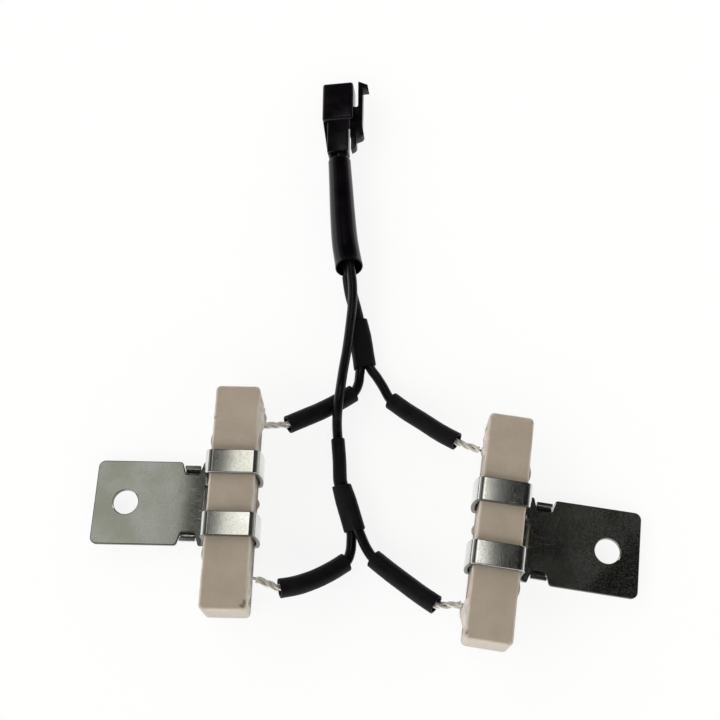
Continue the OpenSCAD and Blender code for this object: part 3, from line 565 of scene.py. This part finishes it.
def bracket_mesh(name):
    columns = [SLOT_HALF_W + (BRACKET_HALF_W - SLOT_HALF_W) * i / 5 for i in range(6)]
    bm = bmesh.new()
    strips = {}
    for way in (-1, 1):
        strips[way] = [[bm.verts.new((x, way * y, z)) for y in columns] for x, z in strap_rows()]
        for row, nxt in zip(strips[way], strips[way][1:]):
            skinned(bm, row, nxt, closed=False)

    def filled(loops):
        edges = []
        for loop in loops:
            edges += [bm.edges.get((a, b)) or bm.edges.new((a, b)) for a, b in zip(loop, loop[1:] + loop[:1])]
        bmesh.ops.triangle_fill(bm, use_beauty=True, use_dissolve=False, edges=edges)

    edge = [(-NOTCH_NEAR + NOTCH_FLARE, BRACKET_HALF_W, NOTCH_R), (-NOTCH_NEAR, NECK_HALF_W, NOTCH_R),
            (-NOTCH_DEEP, NECK_HALF_W, NOTCH_R), (-NOTCH_DEEP - NOTCH_FLARE, BRACKET_HALF_W, NOTCH_CORNER_R),
            (-TAB_REACH, BRACKET_HALF_W, TAB_CORNER_R)]
    root = -TAB_BEND_X - BEND_FLAT
    outline = rounded_outline([(root, BRACKET_HALF_W, 0), *edge, *[(x, -y, r) for x, y, r in reversed(edge)],
                               (root, -BRACKET_HALF_W, 0)])
    tab = [bm.verts.new((p.x, p.y, TAB_Z)) for p in outline[1:-1]]
    hole = [bm.verts.new((-HOLE_REACH + HOLE_R * math.cos(a), HOLE_R * math.sin(a), TAB_Z))
            for a in (math.tau * k / HOLE_SIDES for k in range(HOLE_SIDES))]
    filled([strips[1][0] + tab + strips[-1][0][::-1], hole])

    roots = {way: [bm.verts.new((-x, way * TONGUE_HALF_W, SHEET_T / 2)) for x in LUG_MARKS] for way in (-1, 1)}
    corner = {(way, n): bm.verts.new((x, way * y, SHEET_T / 2)) for way in (-1, 1)
              for n, x, y in ((0, -CASE_W / 2, BRACKET_HALF_W), (1, -CASE_W / 2, TONGUE_HALF_W),
                              (2, -TONGUE_REACH, TONGUE_HALF_W))}
    half = {way: [corner[way, 0], corner[way, 1], *roots[way], corner[way, 2]] for way in (-1, 1)}
    filled([strips[1][-1] + half[1] + half[-1][::-1] + strips[-1][-1][::-1]])
    rise = [(LUG_BEND_R * math.sin(a), LUG_BEND_R * (1 - math.cos(a)))
            for a in (math.radians(10 * k) for k in range(1, 10))]
    rise.append((LUG_BEND_R, LUG_TOP - SHEET_T / 2))
    for way in (-1, 1):
        row = roots[way]
        for out, up in rise:
            nxt = [bm.verts.new((v.co.x, way * (TONGUE_HALF_W + out), SHEET_T / 2 + up)) for v in roots[way]]
            skinned(bm, row, nxt, closed=False)
            row = nxt
    sheet = closed_mesh(bm, name)
    sheet.materials.append(None)
    sheet.materials.append(None)
    blank = put(name, sheet)
    thick = blank.modifiers.new("Sheet", "SOLIDIFY")
    thick.thickness, thick.offset, thick.use_even_offset, thick.material_offset_rim = SHEET_T, 0, True, 1
    cut = blank.modifiers.new("Cut edge", "BEVEL")
    cut.width, cut.segments, cut.limit_method, cut.angle_limit = CUT_EDGE_R, 3, "ANGLE", math.radians(40)
    cut.use_clamp_overlap = cut.loop_slide = False
    mesh = applied(blank, name)
    # Rim faces get the dark cut-edge colour, which is partly bare steel and partly painted shade along the outlines and
    # under the straps. The lugs get only a quarter of it.
    cut_and_shaded = mesh.attributes.new("cut_edge_and_shade", "FLOAT", "FACE")
    lug = [abs(f.center.y) > NECK_HALF_W + 0.5 and LUG_MARKS[0] - 0.1 < -f.center.x < LUG_MARKS[-1] + 0.1
           for f in mesh.polygons]
    cut_and_shaded.data.foreach_set("value", [f.material_index * (LUG_SHADE_SHARE if bent else 1.0)
                                       for f, bent in zip(mesh.polygons, lug)])
    mesh.polygons.foreach_set("material_index", [0] * len(mesh.polygons))
    mesh.materials.clear()
    return mesh


# Fine scratches, as handling leaves on plated sheet: a few short streaks that wander, in patches
hairlines, given, made = new_group("hairlines", [("Vector", None)], ["Mask"])
sway = cloud(given["Vector"], Scale=190.0)
wander = hairlines.nodes.new("ShaderNodeVectorMath")
wander.operation = "MULTIPLY_ADD"
wander.inputs[1].default_value = (0.0025, 0.0025, 0.0025)
link(sway.outputs["Color"], wander.inputs[0])
link(given["Vector"], wander.inputs[2])
STREAK_SCALE = (230, 3400, 230)
streaks = []
for turn, shift in ((0.4, 0.0), (1.3, 3.0), (2.3, 7.0)):
    lie = preset(hairlines.nodes.new("ShaderNodeMapping"), Rotation=(0, 0, turn), Location=(shift, shift, 0),
                 Scale=STREAK_SCALE)
    link(wander.outputs[0], lie.inputs["Vector"])
    streaks.append(ranged(cloud(lie.outputs[0], Scale=1.0, Detail=0.0).outputs[0], 0.755, 0.80))
total = calc("MAXIMUM", calc("MAXIMUM", streaks[0], streaks[1]), streaks[2])
patch = ranged(cloud(given["Vector"], Scale=75.0).outputs[0], 0.36, 0.54, 0.0, 0.38)
link(calc("MULTIPLY", total, patch), made["Mask"])

ZINC_DULL, ZINC_BRIGHT, ZINC_SPOT = (0.61, 0.61, 0.54), (0.77, 0.78, 0.77), (0.52, 0.52, 0.49)
# The second colour is the dark cut edge: bare steel darkened further as painted shade.
ZINC_SCRATCH, ZINC_CUT_AND_SHADE = (0.82, 0.82, 0.80), (0.17, 0.17, 0.16)
zinc_steel, bsdf = shader("zinc_steel")
coords = object_coords(bsdf)
grain = grouped(surface_grain, coords, Broad=110.0, Fine=2600.0)
scratch = grouped(hairlines, coords)["Mask"]
body = tinted(grain["Tone"], ZINC_DULL, ZINC_BRIGHT)
body = tinted(ranged(grain["Grit"], 0.55, 0.95, 0.0, 0.35), body, ZINC_SPOT)
# Darker cut edges: partly the bare steel of the cut, partly painted shade.
cut_and_shaded = attribute(bsdf, "cut_edge_and_shade")
link(tinted(cut_and_shaded, tinted(scratch, body, ZINC_SCRATCH), ZINC_CUT_AND_SHADE), bsdf.inputs["Base Color"])
haze = grouped(surface_grain, coords, Broad=38.0)
speckle = ranged(grain["Grit"], 0.35, 0.8, 0.0, 0.035)
link(calc("SUBTRACT", ranged(haze["Tone"], 0.2, 0.8, 0.955, 0.99), speckle), bsdf.inputs["Metallic"])
rough = calc("MAXIMUM", ranged(grain["Grit"], 0.0, 1.0, 0.072, 0.09), calc("MULTIPLY", scratch, 0.35))
link(calc("MAXIMUM", rough, calc("MULTIPLY", cut_and_shaded, 0.34)), bsdf.inputs["Roughness"])
bumped(bsdf, grain["Grit"], 0.02, 0.02)

for side in BLOCK_PLACE:
    mesh = bracket_mesh(f"{side}_strap_bracket")
    mesh.transform(block_matrix(side))
    finished(f"{side}_strap_bracket", mesh, zinc_steel, [f"{side}_bracket"], 10)

# Wires from the joints to the splices: stranded copper in satin black insulation, one from each lead.
# Each starts in its joint sleeve, droops to the floor under its own weight, and runs into its splice beside another.
WIRE_R, WIRE_SIDES = 1.45, 24
JOINT_ROUTE = {
    ("left", "top"): [(-24.5, 24, 7.4), (-20, 27.1, 6.2), (-16, 30, 4.8), (-11.2, 33.8, 3.5),
                      (-6.7, 37.6, 2.8), (-5.5, 41, 2.3), (-5.4, 44, 2)],
    ("left", "bottom"): [(-21, -23, 7.4), (-16.5, -21.4, 6.4), (-12, -19, 5.2), (-7.8, -16, 4),
                         (-4.1, -12.8, 3), (-3.2, -9.8, 2.3), (-3.2, -6.5, 1.9)],
    ("right", "top"): [(23.5, 23.5, 7.4), (19, 26.1, 6.3), (14, 29.6, 5), (9.3, 32.8, 3.8),
                       (4.7, 36.3, 2.8), (1.8, 40.8, 2.3), (-0.1, 43.6, 2)],
    ("right", "bottom"): [(20.5, -23.5, 7.4), (16.5, -20.9, 6.4), (12.5, -18, 5.3), (7.8, -14.6, 4.2),
                          (3.4, -11.2, 3.2), (1.1, -8.4, 3.3), (-0.6, -5.4, 3.7)]}
SPLICES = {"rear": ((-7.5, 61.6, 2.0), (-4.0, 46.6, 2.0), 0.0),
           "front": ((-7.5, 9.0, 2.9), (-2.5, -3.8, 2.9), 45.0)}
SPLICE_OF = {"top": "rear", "bottom": "front"}
CRIMP_END = 7.0


def joint_path(side, end):
    """The drawn route in millimetres, with its sleeve's mouth pulled to the tip of the lead."""
    route = [Vector(p) for p in JOINT_ROUTE[side, end]]
    pull = lead_line(side, end)[-1] / MM - route[0]
    return [p + pull * max(0.0, 1 - i / 4) for i, p in enumerate(route)]


def splice_axes(which):
    """Start, length, and the directions along, across and over a splice, in millimetres."""
    start, stop, roll = SPLICES[which]
    start, roll = Vector(start), math.radians(roll)
    ahead = (Vector(stop) - start).normalized()
    side = Vector((-ahead.y, ahead.x, 0)) * math.cos(roll) + Vector((0, 0, math.sin(roll)))
    return start, (Vector(stop) - start).length, ahead, side, ahead.cross(side)


def eased(points, step=0.0007):
    """A smooth line through points given in millimetres, as closely spaced points in metres."""
    knots = [Vector(p) * MM for p in points]
    knots = [2 * knots[0] - knots[1], *knots, 2 * knots[-1] - knots[-2]]
    line = []
    for p0, p1, p2, p3 in zip(knots, knots[1:], knots[2:], knots[3:]):
        count = max(2, round((p2 - p1).length / step))
        t1 = math.sqrt((p1 - p0).length)
        t2 = t1 + math.sqrt((p2 - p1).length)
        t3 = t2 + math.sqrt((p3 - p2).length)
        for k in range(count):
            t = t1 + (t2 - t1) * k / count
            a1 = p0.lerp(p1, t / t1)
            a2 = p1.lerp(p2, (t - t1) / (t2 - t1))
            a3 = p2.lerp(p3, (t - t2) / (t3 - t2))
            b1, b2 = a1.lerp(a2, t / t2), a2.lerp(a3, (t - t1) / (t3 - t1))
            line.append(b1.lerp(b2, (t - t1) / (t2 - t1)))
    return line + [knots[-2]]


wire_black = plain_finish("wire_black", 260.0, 2800.0, (0.003, 0.0022, 0.0032), (0.006, 0.0046, 0.0064),
                          (0.22, 0.32), sheen=0.26, bump=("Grit", 0.10, 0.04))

for key in JOINT_ROUTE:
    name = "_".join(key)
    start, length, ahead, across, _ = splice_axes(SPLICE_OF[key[1]])
    place = across * (WIRE_R if key[0] == "right" else -WIRE_R)
    line = eased(joint_path(*key)[1:] + [start + ahead * length + place, start + ahead * CRIMP_END + place])
    wire = tube(f"{name}_insulated_wire", line, WIRE_R, WIRE_SIDES, wire_black, f"{name}_wire")

# Twisted strands: the bare tinned ends of the wires, wound by hand round the leads before the sleeves slide on.
# Each bundle is a few fine strands laid side by side in a helix, with its tail run into the end of the wire.
STRAND_R, STRAND_COUNT, STRAND_LAY_R, STRAND_PITCH = 0.46, 3, 0.6, 8.5
STRAND_SWELL, STRAND_STRAY = 0.12, 0.35
soldered = plain_finish("soldered", 700.0, 4200.0, (0.80, 0.77, 0.71), (0.93, 0.91, 0.86), (0.30, 0.46), metal=0.6,
                        bump=("Tone", 0.25, 0.08))


def strand_tree():
    """Geometry nodes: a line becomes a bundle of strands laid round it in a helix."""
    tree, add, given = geometry_tree("twisted_strands", ("Strands", "Int", 5), ("Strand Radius", "Float", 0.0002),
                                     ("Lay Radius", "Float", 0.0006), ("Pitch", "Float", 0.004), ("Seed", "Int", 1))

    def vector(operation, a, b):
        node = add("ShaderNodeVectorMath")
        node.operation = operation
        link(a, node.inputs[0])
        link(b, node.inputs["Scale" if operation == "SCALE" else 1])
        return node.outputs[0]

    to_curve, copies = add("GeometryNodeMeshToCurve"), add("GeometryNodeDuplicateElements")
    copies.domain = "SPLINE"
    link(given["Geometry"], to_curve.inputs["Mesh"])
    link(to_curve.outputs[0], copies.inputs["Geometry"])
    link(given["Strands"], copies.inputs["Amount"])
    which = copies.outputs["Duplicate Index"]
    along = add("GeometryNodeSplineParameter").outputs["Length"]
    normal, tangent = add("GeometryNodeInputNormal").outputs[0], add("GeometryNodeInputTangent").outputs[0]
    jitter = add("FunctionNodeRandomValue")
    jitter.data_type = "FLOAT"
    jitter.inputs[2].default_value, jitter.inputs[3].default_value = -STRAND_STRAY, STRAND_STRAY
    link(which, jitter.inputs["ID"])
    link(given["Seed"], jitter.inputs["Seed"])
    turn = calc("MULTIPLY", calc("DIVIDE", along, given["Pitch"]), math.tau)
    phase = calc("ADD", calc("MULTIPLY", calc("DIVIDE", which, given["Strands"]), math.tau), jitter.outputs[1])
    angle = calc("ADD", turn, phase)
    wave = calc("SINE", calc("ADD", calc("MULTIPLY", turn, 0.7), phase))
    lay = calc("MULTIPLY", given["Lay Radius"], calc("ADD", 1.0, calc("MULTIPLY", wave, STRAND_SWELL)))
    across = vector("CROSS_PRODUCT", tangent, normal)
    shift = add("GeometryNodeSetPosition")
    link(copies.outputs["Geometry"], shift.inputs["Geometry"])
    link(vector("ADD", vector("SCALE", normal, calc("MULTIPLY", calc("COSINE", angle), lay)),
                vector("SCALE", across, calc("MULTIPLY", calc("SINE", angle), lay))), shift.inputs["Offset"])
    circle, sweep = swept(add, given, shift.outputs[0], "Strand Radius")
    circle.inputs["Resolution"].default_value = 12
    sweep.inputs["Fill Caps"].default_value = True
    return tree


twisted_strands = strand_tree()
for seed, key in enumerate(JOINT_ROUTE):
    name = "_".join(key)
    lead = lead_line(*key)
    knee, tip = lead[-2], lead[-1]
    entry = joint_path(*key)[1] * MM
    core = [(knee + (tip - knee) * f) / MM for f in (0.04, 0.35, 0.65, 0.92)]
    core += [(tip * 0.55 + entry * 0.45) / MM, (tip * 0.06 + entry * 0.94) / MM]
    values = {"Strands": STRAND_COUNT, "Strand Radius": STRAND_R * MM, "Lay Radius": STRAND_LAY_R * MM,
              "Pitch": STRAND_PITCH * MM, "Seed": seed + 2, "Material": soldered}
    mesh = grown(f"{name}_twist", eased(core, 0.0003), twisted_strands, values)
    finished(f"{name}_twist", mesh, soldered, [f"{name}_strands"], 60)

# Joint sleeves: short lengths of matt black tube, pushed over the soldered joints and shrunk a little on to the wires.
# Their cut mouths stay open on the side of the lead, so the strands are seen to run in.
SLEEVE_R, SLEEVE_WALL, SLEEVE_LIP, SLEEVE_SIDES, RIPPLE = 2.65, 0.6, 0.12, 32, 0.012
sleeve_black = plain_finish("sleeve_black", 220.0, 2400.0, (0.004, 0.0031, 0.0043), (0.007, 0.0055, 0.0074),
                            (0.45, 0.58), sheen=0.16, bump=("Grit", 0.2, 0.06))

for key in JOINT_ROUTE:
    name = "_".join(key)
    line = eased(joint_path(*key)[:5])
    girths = [1 + RIPPLE * noise.noise(p * 900) for p in line]
    tube(f"{name}_joint_sleeve", line, SLEEVE_R, SLEEVE_SIDES, sleeve_black,
                              f"{name}_sleeve", 50, SLEEVE_WALL, SLEEVE_LIP, girths)

# Splices: where two wires meet one feed wire, a crimped barrel is covered by a wide flat tube of matt black sleeve,
# and a narrow tube goes on from it over the feed wire. The tubes are shrunk on, so they follow what is in them.
COVER_R, COVER_WALL, COVER_END_R, COVER_STEPS = 1.95, 0.4, 0.15, 22
VALLEY, VALLEY_RUN, PINCH, PINCH_SHARE = 0.3, 3.0, 0.86, 0.35
GLUE_INNER, GLUE_OUTER, GLUE_LIP = 1.0, 0.4, 0.3
COVER_LEAN = {"rear": -0.4, "front": 0.6}
FEED_LEAD_IN = 1.2
FEED_ROUTE = {
    "rear": [(-8.9, 66.3, 2), (-10.6, 71.4, 2), (-11.9, 76.9, 2.25), (-12.9, 80.7, 2.9), (-14.7, 87.5, 2.9),
             (-17, 98, 3.1), (-18.6, 107.5, 3.6), (-20.2, 117, 3.9)],
    "front": [(-8.8, 16.4, 2.4), (-9.9, 22.9, 2.4), (-10.5, 27, 4.5), (-10.6, 31.5, 7.4), (-10.4, 36.5, 7.9),
              (-10.2, 43, 7), (-9.8, 50, 6.2), (-9.6, 58, 5.7), (-9.6, 66, 5.7), (-10.1, 72, 5.7),
              (-11.6, 80, 5.7), (-12.9, 88, 5.5), (-14.5, 98, 5.3), (-15.8, 107.5, 4.8), (-17.2, 117, 4.5)]}
NARROW_TUBE_POINTS = {"rear": 3, "front": 2}
NARROW_TUBE_R, NARROW_TUBE_WALL, NARROW_TUBE_LIP = 2.0, 0.45, 0.1


def oval(width, r, dip=0.0, count=14):
    """An oval round two wires side by side: half circles of radius r, width apart, with a dip between them."""
    line = [Vector((math.copysign(width / 2, math.cos(a)) + r * math.cos(a), r * math.sin(a)))
            for a in (math.tau * (k + 0.5) / (2 * count) for k in range(2 * count))]
    quarter = count // 2
    return (line[:quarter] + [Vector((0, r - dip))] + line[quarter:-quarter] + [Vector((0, dip - r))]
            + line[-quarter:])


def cover_mesh(name, which):
    """A wide tube round two wires, cut a little out of square at both ends; glue closes it round the feed wire."""
    start, length, ahead, side, over = splice_axes(which)
    places = [length * k / COVER_STEPS for k in range(COVER_STEPS + 1)]
    inner = COVER_R - COVER_WALL
    shells = [(0.0, COVER_R - COVER_END_R, 2 * WIRE_R)]
    shells += [(u, COVER_R, 2 * WIRE_R) for u in (COVER_END_R, *places[1:-1], length - COVER_END_R)]
    shells += [(length, COVER_R - COVER_END_R, 2 * WIRE_R)]
    shells += [(u, inner, 2 * WIRE_R) for u in reversed(places[2:])]
    shells += [(u, WIRE_R, 0.0) for u in (GLUE_INNER, GLUE_OUTER)] + [(u, inner, 2 * WIRE_R) for u in (GLUE_LIP, 0.0)]
    bm = bmesh.new()
    rows = []
    for u, r, spread in shells:
        pinch = PINCH + (1 - PINCH) * min(1.0, u / (PINCH_SHARE * length))
        ripple = 1 + RIPPLE * noise.noise(Vector((u * 0.6, 4.0, length)))
        dip = VALLEY * min(1.0, max(0.0, (u - CRIMP_END) / VALLEY_RUN))
        rows.append([bm.verts.new((start + ahead * (u + COVER_LEAN[which] * q.x / (WIRE_R + COVER_R))
                                   + side * q.x * pinch * ripple + over * q.y * ripple) * MM)
                     for q in oval(spread, r, dip)])
    rows.append(rows[0])
    for row, nxt in zip(rows, rows[1:]):
        skinned(bm, row, nxt)
    return closed_mesh(bm, name)


for which in SPLICES:
    refinish(f"{which}_splice_crimp", tinned)
    mesh = cover_mesh(f"{which}_wide_tube", which)
    cover = finished(f"{which}_wide_tube", mesh, sleeve_black, [f"{which}_splice_cover"], 50)
    start, _, ahead, _, _ = splice_axes(which)
    line = eased([start - 0.1 * ahead, start - FEED_LEAD_IN * ahead] + FEED_ROUTE[which][:NARROW_TUBE_POINTS[which]])
    narrow = tube(f"{which}_narrow_tube", line, NARROW_TUBE_R, SLEEVE_SIDES, sleeve_black,
                  f"{which}_splice_tube", 50, NARROW_TUBE_WALL, NARROW_TUBE_LIP)

# Harness sleeve: a longer length of glossy black tube round both feed wires, tight at the plug and open at the other
# end, where the wires come out one above the other.
SLEEVE_ROUTE = [(-18.7, 118.3, 4.2), (-17.1, 107.5, 4.2), (-15.7, 98, 4.2), (-14, 88, 4.2), (-12.1, 80.2, 4.4),
                (-11.8, 78.9, 4.7)]
HARNESS_R, HARNESS_OPENING, HARNESS_WALL, HARNESS_LIP = 3.7, 4.35 / 3.7, 0.5, 0.2
gloss_black = plain_finish("gloss_black", 160.0, 1800.0, (0.002, 0.0015, 0.0022), (0.004, 0.003, 0.0042),
                           (0.10, 0.16), sheen=0.28, bump=("Tone", 0.10, 0.12))
line = eased(SLEEVE_ROUTE)
girths = [1 + (HARNESS_OPENING - 1) * i / (len(line) - 1) + 0.008 * noise.noise(p * 160) for i, p in enumerate(line)]
glossy_sleeve = tube("glossy_sleeve", line, HARNESS_R, 48, gloss_black, "harness_sleeve", 50,
                     HARNESS_WALL, HARNESS_LIP, girths)

# Plug: a two-way housing moulded in black nylon, rolled a little on to its plain side. A front block, a narrower neck
# for the wires, a slanting fin, and on the other side a springy latch with a hook and a thumb rest.
PLUG_PLACE = (Matrix.Translation((-0.0193, 0.1209, 0.0040602)) @ Matrix.Rotation(math.radians(5), 4, "Z")
              @ Matrix.Rotation(math.radians(-8), 4, "Y") @ Matrix.Scale(MM, 4))
PLUG_L, PLUG_NECK_L = 27.2, 12.2
BLOCK_W, BLOCK_H, NECK_W, NECK_H, LATCH_H = 10.4, 7.0, 7.0, 5.2, 3.0
BLOCK_R, NECK_R, FIN_R, LATCH_R = 1.0, 0.5, 0.2, 0.25
WAY_X, WAY_W, WAY_FUNNEL, ENTRY_R, ENTRY_L = 1.7, 2.8, 0.45, 1.5, 11.4
ENTRY_SIDES = 28
SQUARE = ((-1, -1), (1, -1), (1, 1), (-1, 1))
LATCH_OUTLINE = [(6.65, 28.6, 0.3), (9.9, 26.8, 0.3), (10.2, 24.8, 0.2), (8.3, 24.8, 0.2), (8.1, 10.2, 1.0),
                 (8.7, 5.9, 1.5), (6.15, 5.0, 0.3), (6.15, 2.0, 1.6), (4.3, 0.8, 0.3), (4.3, 6.4, 0.0),
                 (4.0, 6.4, 0.0), (4.0, 18.8, 0.0), (5.15, 18.8, 0.0), (5.15, 18.0, 0.7), (6.65, 18.0, 0.7)]
FIN_OUTLINE = [(-5.2, 13.2, 0), (-4.3, 13.2, 0), (-2.6, 1.2, 0.2), (-3.5, 0.6, 0.2)]


def shell(base, cap):
    """A closed shell between two flat rings of as many points."""
    bm = bmesh.new()
    ends = [[bm.verts.new(p) for p in ring] for ring in (base, cap)]
    skinned(bm, *ends)
    caps = [bm.faces.new(ring) for ring in ends]
    bmesh.ops.recalc_face_normals(bm, faces=bm.faces)
    return bm, caps


def prism(outline, low, high, bevel=0.0):
    bm, caps = shell(*([(p.x, p.y, z) for p in outline] for z in (low, high)))
    if bevel:
        rims = {e for f in caps for e in f.edges}
        bmesh.ops.bevel(bm, geom=list(rims), offset=bevel, segments=3, affect="EDGES", profile=0.5)
    return bm


def square_outline(x0, x1, y0, y1):
    return [Vector(p) for p in ((x0, y0), (x1, y0), (x1, y1), (x0, y1))]


def moulded_box(w, y0, y1, h, r):
    bm = prism(square_outline(-w / 2, w / 2, y0, y1), -h / 2, h / 2)
    bmesh.ops.bevel(bm, geom=bm.edges[:], offset=r, segments=5, affect="EDGES", profile=0.5)
    return bm


def joined(name, parts, cuts):
    """Fuses closed shells into one body and takes the cuts out of it."""
    bodies = [put(name, closed_mesh(bm, name)) for bm in parts + cuts]
    for i, other in enumerate(bodies[1:], 1):
        fuse = bodies[0].modifiers.new("Fuse", "BOOLEAN")
        fuse.operation = "UNION" if i < len(parts) else "DIFFERENCE"
        fuse.solver, fuse.object = "EXACT", other
    mesh = applied(bodies[0], name)
    for body in bodies[1:]:
        bpy.data.objects.remove(body)
    return mesh


def round_cut(x, y0, y1, r):
    turns = [math.tau * k / ENTRY_SIDES for k in range(ENTRY_SIDES)]
    return shell(*([(x + r * math.cos(a), y, r * math.sin(a)) for a in turns] for y in (y0, y1)))[0]


def lead_in(x):
    """A short funnel at the mouth of a way, for the pin of the other half."""
    return shell(*([(x + sx * w / 2, y, sz * w / 2) for sx, sz in SQUARE]
                   for w, y in ((WAY_W - 0.1, PLUG_L - WAY_FUNNEL), (WAY_W + 0.8, PLUG_L + WAY_FUNNEL))))[0]


nylon_black = plain_finish("nylon_black", 180.0, 2200.0, (0.0018, 0.0012, 0.002), (0.0036, 0.0026, 0.0038),
                           (0.16, 0.22), sheen=0.42, bump=("Grit", 0.15, 0.05))

parts = [moulded_box(BLOCK_W, PLUG_NECK_L, PLUG_L, BLOCK_H, BLOCK_R),
         moulded_box(NECK_W, 0.0, PLUG_NECK_L + 2, NECK_H, NECK_R),
         prism(rounded_outline(FIN_OUTLINE), -LATCH_H / 2, LATCH_H / 2, FIN_R),
         prism(rounded_outline(LATCH_OUTLINE), -LATCH_H / 2, LATCH_H / 2, LATCH_R)]
cuts = []
for x in (-WAY_X, WAY_X):
    way = square_outline(x - WAY_W / 2, x + WAY_W / 2, ENTRY_L, PLUG_L + 1)
    cuts += [round_cut(x, -1.0, PLUG_NECK_L, ENTRY_R), prism(way, -WAY_W / 2, WAY_W / 2), lead_in(x)]
mesh = joined("latched_plug", parts, cuts)
mesh.transform(PLUG_PLACE)
plug = finished("latched_plug", mesh, nylon_black, ["plug_housing"], 32)

# Terminals: two stamped brass sockets, one on the end of each feed wire, pushed into the plug until they lock.
# Only their mouths show, deep in the front of the plug, so the solids stay and get their finish.
brass = plain_finish("brass", 500.0, 4000.0, (0.68, 0.50, 0.24), (0.80, 0.62, 0.34), 0.3, metal=1.0)
for which in ("front", "rear"):
    refinish(f"{which}_terminal", brass)

# Feed wires: the same black wire as the joints', from each splice through the glossy sleeve to its way in the plug.
# The front one rises over the rear splice in a long low hump and comes down to the floor again at its own splice.
for which, way in (("rear", -WAY_X), ("front", WAY_X)):
    start, _, ahead, _, _ = splice_axes(which)
    ends = [PLUG_PLACE @ Vector((way, y, 0)) / MM for y in (-1.0, 7.0)]
    line = eased([start + ahead, start - FEED_LEAD_IN * ahead] + FEED_ROUTE[which] + ends)
    wire = tube(f"{which}_feed", line, WIRE_R, WIRE_SIDES, wire_black, f"{which}_feed_wire")

# Studio: a wide white table under the object, bright walls all round it, which shiny parts mirror only near the floor,
# a dark ceiling with three soft lamps, and the camera, which looks down from the side away from the plug.
FLOOR_HALF, TABLE_GLOW, TABLE_GLOW_SHARE = 3.0, 1.04, 0.82
floor_mesh = bpy.data.meshes.new("table")
floor_mesh.from_pydata([(FLOOR_HALF * x, FLOOR_HALF * y, 0) for x, y in SQUARE], [], [(0, 1, 2, 3)])
table = put("table", floor_mesh)
white_table, paper = shader("white_table")
preset(paper, **{"Base Color": (0.9, 0.9, 0.9, 1), "Roughness": 0.9, "Specular IOR Level": 0.1})


def shown(nodes):
    """The light path, and 1 for rays that show a thing to the camera, straight or mirrored, and 0 for its light."""
    rays = nodes.new("ShaderNodeLightPath").outputs
    mirrored = calc("MAXIMUM", rays["Is Glossy Ray"], rays["Is Transmission Ray"])
    return rays, calc("MAXIMUM", rays["Is Camera Ray"], mirrored)


nodes = white_table.node_tree.nodes
glow, blend = nodes.new("ShaderNodeEmission"), nodes.new("ShaderNodeMixShader")
glow.inputs["Strength"].default_value = TABLE_GLOW
link(calc("MULTIPLY", shown(nodes)[1], TABLE_GLOW_SHARE), blend.inputs[0])
link(paper.outputs[0], blend.inputs[1])
link(glow.outputs[0], blend.inputs[2])
link(blend.outputs[0], nodes["Material Output"].inputs[0])
floor_mesh.materials.append(white_table)

# Walls as steps of height: height, brightness, share of blue
WALLS = [(0.0, 2.6, 1.04), (0.42, 2.6, 0.96), (0.52, 1.9, 0.90), (0.64, 0.35, 0.90), (0.76, 0.03, 1.0),
         (1.0, 0.012, 1.0)]
WALLS_SHOWN, MIRROR_DUSK = 0.44, 0.8
world = bpy.data.worlds.new("studio")
bpy.context.scene.world = world
world.use_nodes = True
nodes = world.node_tree.nodes
rise = nodes.new("ShaderNodeVectorMath")
rise.operation = "DOT_PRODUCT"
rise.inputs[1].default_value = (0.17, 0.12, 1)
link(nodes.new("ShaderNodeTexCoord").outputs["Generated"], rise.inputs[0])
height = nodes.new("ShaderNodeValToRGB")
link(rise.outputs["Value"], height.inputs[0])
while len(height.color_ramp.elements) < len(WALLS):
    height.color_ramp.elements.new(0.5)
for element, (at, level, blue) in zip(height.color_ramp.elements, WALLS):
    element.position, element.color = at, (level, level, level * blue, 1)
link(height.outputs[0], nodes["Background"].inputs["Color"])
rays, seen = shown(nodes)
dusk = calc("MULTIPLY", rays["Is Glossy Ray"], ranged(rise.outputs["Value"], 0.02, 0.3, 0.0, MIRROR_DUSK))
strength = calc("MULTIPLY", ranged(seen, 0.0, 1.0, 1.0, WALLS_SHOWN), calc("SUBTRACT", 1.0, dusk))
link(strength, nodes["Background"].inputs["Strength"])

# name, place, width, length, radiance, colour
LAMPS = [("ceiling_lamp", (-0.0295, 0.2525, 0.95), 0.323, 0.19, 1.38, (1.0, 0.985, 0.94)),
         ("side_panel", (-0.318, 0.2525, 0.95), 0.15, 0.26, 0.43, (0.98, 1.0, 0.91)),
         ("rear_lamp", (-0.07, 0.50, 0.95), 0.5, 0.15, 1.5, (1.0, 0.99, 0.97))]
for name, place, width, length, level, colour in LAMPS:
    lamp_data = bpy.data.lights.new(name, "AREA")
    lamp_data.shape, lamp_data.size, lamp_data.size_y = "RECTANGLE", width, length
    lamp_data.energy, lamp_data.color = level * math.pi * width * length, colour
    put(name, lamp_data).location = place

camera_data = bpy.data.cameras.new("camera")
camera_data.lens, camera_data.sensor_width, camera_data.clip_start = 50.2, 36.0, 0.01
camera = put("camera", camera_data)
camera.location = (0.00515, -0.0728, 0.2805)
camera.rotation_euler = (math.radians(23.69), 0, math.radians(5.11))
bpy.context.scene.camera = camera
bpy.context.scene.view_settings.view_transform = "Standard"
